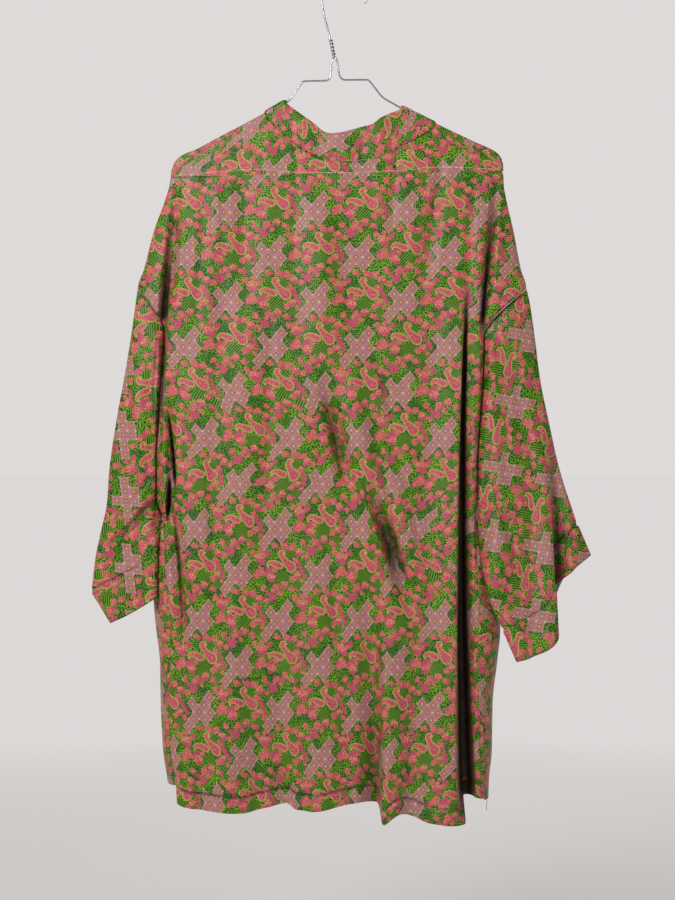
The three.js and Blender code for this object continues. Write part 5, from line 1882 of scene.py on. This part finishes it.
class HangerWire:
    """The hanger: one steel wire, bent to a frame, with its ends twisted under the hook."""

    SIDES = 14
    TWIST_FOOT = (-12.4, 120.5)
    TWIST_TOP = (-17, 98)
    TWIST_TURNS = 2.5
    TWIST_STEPS = 40
    STRAND_GAP = 0.2

    @staticmethod
    def place(x: float, drop: float, y: float = 0.0) -> np.ndarray:
        """Return a place on the wire."""
        return np.array([x, y, -drop])

    def under_shoulder(self, start: float, end: float, count: int) -> list[np.ndarray]:
        """Return the wire's line below the cloth of a shoulder."""
        points = []
        for x in np.linspace(start, end, count + 1):
            slope = float(FORM.shoulder(x + 0.5) - FORM.shoulder(x - 0.5))
            length = math.hypot(1, slope)
            drop = float(FORM.shoulder(x)) + SEAT / length
            points.append(self.place(x - slope * SEAT / length, drop))
        return points

    def corner(
        self, before: tuple, at: tuple, after: tuple, radius: float, steps: int
    ) -> list[np.ndarray]:
        """Return a rounded corner."""
        a, b, c = (self.place(*p) for p in (before, at, after))
        start = b + (a - b) / np.linalg.norm(a - b) * radius
        end = b + (c - b) / np.linalg.norm(c - b) * radius
        out = []
        for t in np.linspace(0, 1, steps + 1):
            out.append((1 - t) ** 2 * start + 2 * t * (1 - t) * b + t * t * end)
        return out

    def twist(self, phase: float) -> list[np.ndarray]:
        """Return one of the two strands that wind round each other."""
        bottom = self.place(*self.TWIST_FOOT)
        top = self.place(*self.TWIST_TOP)
        axis = (top - bottom) / np.linalg.norm(top - bottom)
        sideways = np.cross((0.0, 1.0, 0.0), axis)
        sideways /= np.linalg.norm(sideways)
        radius = (WIRE + self.STRAND_GAP) / 2
        out = []
        for t in np.linspace(0, 1, self.TWIST_STEPS + 1):
            angle = phase + self.TWIST_TURNS * 2 * math.pi * t
            point = mix(bottom, top, t) + sideways * radius * math.cos(angle)
            out.append(point + np.array([0.0, radius * math.sin(angle), 0.0]))
        return out

    def line(self) -> np.ndarray:
        """Return the wire's whole middle line."""
        place = self.place
        points = [place(28.2, 49), place(29.8, 39)]
        for angle in np.linspace(-0.02, math.pi + 0.12, 33):
            drop = HOOK_RADIUS - WIRE / 2 - HOOK_RADIUS * math.sin(angle)
            points.append(place(HOOK_RADIUS * math.cos(angle), drop))
        points += [place(-28.6, 46), place(-26.6, 61), place(-21.8, 81), place(-18.8, 91.5)]
        points += self.twist(0)[::-1]
        points += [place(-8.6, 127), place(-7.4, 136)]
        points += self.corner((-7.4, 136), (-5, 149.5), (20, 149.5), 8, 6)
        points += self.corner((10, 149.5), (32, 149.2), (49, 170.5), 4, 4)
        points += self.corner((32, 149.2), (50, 172.5), (76, 186.5), 5, 4)
        points += self.under_shoulder(82, 203.6, 30)
        points += [place(202.2, 262), place(199, BAR_DROP - 2.5), place(191, BAR_DROP)]
        points += [place(-208, BAR_DROP), place(-218, BAR_DROP - 2.5), place(-221.6, 266)]
        points += self.under_shoulder(-222.2, -73, 32)
        points += self.corner((-76, 179), (-69.5, 174.5), (-54, 151), 3, 4)
        points += self.corner((-69.5, 174.5), (-53.5, 151), (-30, 151), 4, 4)
        points += self.corner((-50, 151), (-17.6, 150.4), (-16.8, 138), 8, 6)
        points += [place(-16.6, 136), place(-16.2, 128)]
        points += self.twist(math.pi)
        return smooth_line(points, 3)

    def build(self, steel: bpy.types.Material) -> bpy.types.Object:
        """Make the wire in place of its plainer form in the frame."""
        line, radii = capped(self.line(), WIRE / 2)
        points, faces = tube(line, radii, self.SIDES)
        wire = mesh_object("hanger_wire", points, faces)
        wire.data.materials.append(steel)
        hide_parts("hanger")
        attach(wire, "root")
        return wire


class Stitches:
    """Rows of small stitches that lie in the cloth."""

    def __init__(self, name: str, thread: bpy.types.Material) -> None:
        """Start with no stitches."""
        self.name = name
        self.thread = thread
        self.points: list[np.ndarray] = []
        self.faces: list[np.ndarray] = []
        self.count = 0

    def row(
        self, line: np.ndarray, normal: np.ndarray, length: float, pitch: float, radius: float
    ) -> None:
        """Sew a row along a line.

        Args:
            line: Points on the middle of the cloth.
            normal: The way out of the cloth at each.
            length: A stitch's length.
            pitch: From one stitch to the next.
            radius: The thread's radius.
        """
        run = np.concatenate([[0], np.cumsum(np.linalg.norm(np.diff(line, axis=0), axis=1))])
        rng = np.random.default_rng(len(self.points) + 5)
        start = pitch
        while start + length < run[-1] - pitch:
            reach = length * rng.uniform(0.86, 1.1)
            at = start + np.linspace(0, reach, 5)
            middle = np.stack([np.interp(at, run, line[:, k]) for k in range(3)], axis=1)
            out = np.stack([np.interp(at, run, normal[:, k]) for k in range(3)], axis=1)
            height = SHELL / 2 + radius * np.array([-1.4, 0.35, 0.55, 0.35, -1.4])
            points, faces = tube(middle + out * height[:, None], np.full(5, radius), 6)
            self.points.append(points)
            self.faces.append(faces + self.count)
            self.count += len(points)
            start += pitch * rng.uniform(0.94, 1.08)

    def build(self) -> bpy.types.Object:
        """Make the rows as one piece."""
        made = mesh_object(self.name, np.concatenate(self.points), np.concatenate(self.faces))
        made.data.materials.append(self.thread)
        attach(made, "root")
        return made


@dataclass
class Jacket:
    """The whole jacket: its panels, its band, its sleeves and its sewing."""

    right_side: bpy.types.Material
    wrong_side: bpy.types.Material
    pale_thread: bpy.types.Material
    dark_thread: bpy.types.Material
    SEWN_EDGES = ("top", "first", "last")
    SEAM = (0.7, 1.7)
    WIRE_SEAM = (1.3, 2.6)
    YOKE_STITCH = (3.2, 3.7, 0.36)
    HEM_STITCH = (2.2, 3.6, 0.24)
    HEM_DEPTH = 21
    THREAD_AT = (183.5, 1076.0)
    THREAD_FALL = (
        (0.0, 0.0, 0.0),
        (0.9, -0.6, -4.0),
        (1.2, -0.9, -9.0),
        (0.6, -0.8, -14.0),
        (0.2, -0.9, -20.0),
    )
    THREAD_RADIUS = 0.28

    def build(self) -> None:
        """Make every piece."""
        silks = (self.right_side, self.wrong_side)
        backs = BackPanels()
        yoke = sewn(sewn(backs.yoke(), ("top",), *self.WIRE_SEAM), ("bottom",), *self.SEAM)
        back = backs.back()
        Panel("back_yoke", grid=yoke, shift=(-7, 9)).build(*silks)
        Panel("back", grid=sewn(back, self.SEWN_EDGES, *self.SEAM)).build(*silks)
        for name, shift in (("left", (31, 44)), ("right", (64, -23))):
            grid = sewn(FrontPanel(name).grid(), self.SEWN_EDGES, *self.SEAM)
            Panel(f"front_{name}", grid=grid, shift=shift).build(*silks)
        band = Neckband().grid()
        middle = band.shape[0] // 2
        along = strip_lengths(band, 0)
        across = strip_lengths(band, 1)
        laid = np.stack([-across, along - along[middle : middle + 1]], axis=-1)
        laid = turn(laid, 0.0, (30.0, -365.0))
        SleevePanel("neckband", grid=band, laid=laid, thickness=1.2).build(*silks)
        for sleeve in (LEFT_SLEEVE, RIGHT_SLEEVE):
            sleeve.build(*silks)
        self.sew(yoke, back)
        self.loose_thread()

    def sew(self, yoke: np.ndarray, back: np.ndarray) -> None:
        """Sew the visible rows of stitches."""
        pale = Stitches("yoke_stitches", self.pale_thread)
        normal = normals_of(yoke, False)
        pale.row(yoke[-3], normal[-3], *self.YOKE_STITCH)
        pale.build()
        hem = Stitches("hem_stitches", self.dark_thread)
        normal = normals_of(back, False)
        length = strip_lengths(back, 0)
        from_hem = length[-1:] - length
        row = np.argmin(np.abs(from_hem - self.HEM_DEPTH), axis=0)
        column = np.arange(back.shape[1])
        hem.row(back[row, column], normal[row, column], *self.HEM_STITCH)
        hem.build()

    def loose_thread(self) -> None:
        """Hang the loose end of thread at the right corner of the hem."""
        x, drop = self.THREAD_AT
        start = FORM.point(np.array([x]), np.array([drop]), Face.BACK)[0]
        line = smooth_line(start + np.array(self.THREAD_FALL), 6)
        points, faces = tube(line, np.full(len(line), self.THREAD_RADIUS), 7)
        thread = mesh_object("loose_thread", points, faces)
        thread.data.materials.append(self.dark_thread)
        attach(thread, "root")


class Studio:
    """The plain floor, the soft lights and the pale surroundings."""

    PALE = srgb(240, 236, 235)
    FLOOR_DROP = 1.45
    FLOOR_REACH = 200.0
    FLOOR_LINES = 61
    FLOOR_GLOW = 0.82
    DIMMEST = 0.16
    BRIGHTER = 0.68
    LIGHTS_AIM = (0.0, 0.0, -0.62)

    def build(self) -> None:
        """Make the stage."""
        scene = bpy.context.scene
        scene.view_settings.view_transform = "Standard"
        scene.view_settings.look = "None"
        world = bpy.data.worlds.new("pale_surround")
        scene.world = world
        world.use_nodes = True
        backdrop = world.node_tree.nodes["Background"]
        backdrop.inputs["Color"].default_value = self.PALE
        g = NodeGraph(world.node_tree)
        towards = g.node("ShaderNodeTexCoord").outputs["Generated"]
        rear = g.vector("DOT_PRODUCT", towards, (0.0, 1.0, 0.0))
        share = g.math("MULTIPLY_ADD", rear, 2.2, -0.5, clamp=True)
        strength = g.math("MULTIPLY_ADD", share, self.BRIGHTER, self.DIMMEST)
        g.wire(backdrop.inputs["Strength"], strength)
        self.floor()
        self.light("key_light", (-1.3, -2.4, 0.75), 0.8, 60.0, (1.0, 0.98, 0.95))
        self.light("fill_light", (1.9, -1.9, -0.2), 1.6, 3.5, (0.99, 0.97, 1.0))
        self.light("rear_light", (0.5, 2.2, 0.6), 1.5, 18.0, (1.0, 0.99, 0.98))

    def floor(self) -> None:
        """Lay the floor, whose far parts fade into the surroundings."""
        share = np.linspace(-1, 1, self.FLOOR_LINES)
        lines = self.FLOOR_REACH * share * np.abs(share)
        x, y = np.meshgrid(lines, lines)
        grid = np.stack([x, y, np.full_like(x, -self.FLOOR_DROP)], axis=-1) / MM
        index = np.arange(x.size).reshape(x.shape)
        faces = np.stack(cell_corners(index), axis=-1).reshape(-1, 4)
        floor = mesh_object("floor", grid.reshape(-1, 3), faces)
        material, g, surface = new_material("pale_floor")
        leave = material.node_tree.nodes["Material Output"]
        place = g.node("ShaderNodeTexCoord").outputs["Object"]
        cloud, _ = g.noise(place, 0.4, 2.0)
        pale = g.mixed(cloud, srgb(238, 235, 234), srgb(243, 240, 239))
        g.feed(surface, {"Roughness": 0.9, "Specular IOR Level": 0.1, "Base Color": pale})
        glow = g.node("ShaderNodeEmission")
        g.feed(glow, {"Color": self.PALE, "Strength": self.FLOOR_GLOW})
        away = g.vector("LENGTH", place)
        share = g.math("MULTIPLY_ADD", away, 1 / 2.4, -0.42, clamp=True)
        blend = g.node("ShaderNodeMixShader")
        for socket, value in zip(blend.inputs, (share, surface.outputs[0], glow.outputs[0])):
            g.wire(socket, value)
        g.wire(leave.inputs["Surface"], blend.outputs[0])
        floor.data.materials.append(material)
        floor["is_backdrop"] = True

    def light(self, name: str, place: tuple, size: float, watts: float, colour: tuple) -> None:
        """Add a soft light that faces the jacket."""
        data = bpy.data.lights.new(name, "AREA")
        data.shape = "SQUARE"
        data.size = size
        data.energy = watts
        data.color = colour
        light = bpy.data.objects.new(name, data)
        light.location = place
        aim = Vector(self.LIGHTS_AIM) - Vector(place)
        light.rotation_euler = aim.to_track_quat("-Z", "Y").to_euler()
        bpy.context.scene.collection.objects.link(light)


def corners_of(box: object) -> list:
    """Return a box's numbers as plain lists."""
    if isinstance(box, dict):
        return [corners_of(value) for value in box.values()]
    if hasattr(box, "__len__") and not isinstance(box, str):
        return [corners_of(value) for value in box]
    return float(box)


def main() -> None:
    """Build the scene."""
    logging.basicConfig(level=logging.INFO, format="%(name)s: %(message)s")
    Camera().build()
    printed = SilkPrint(PrintColours())
    right_side = SilkFinish("printed_silk", 0.52, 0.12, 0.0).build(printed)
    wrong_side = SilkFinish("silk_wrong_side", 0.6, 0.2, 0.45).build(printed)
    steel = PlainFinish("brushed_steel", srgb(196, 193, 198), 0.3, 1.0).build()
    pale_thread = PlainFinish("pale_thread", srgb(236, 214, 206), 0.6).build()
    dark_thread = PlainFinish("dark_thread", srgb(58, 44, 36), 0.65).build()
    Jacket(right_side, wrong_side, pale_thread, dark_thread).build()
    HangerWire().build(steel)
    Studio().build()
    own_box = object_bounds()
    {"cad": corners_of(CAD_BOX), "scene": corners_of(own_box)}
    LOG.info("sizes written")


if __name__ == "__main__":
    main()
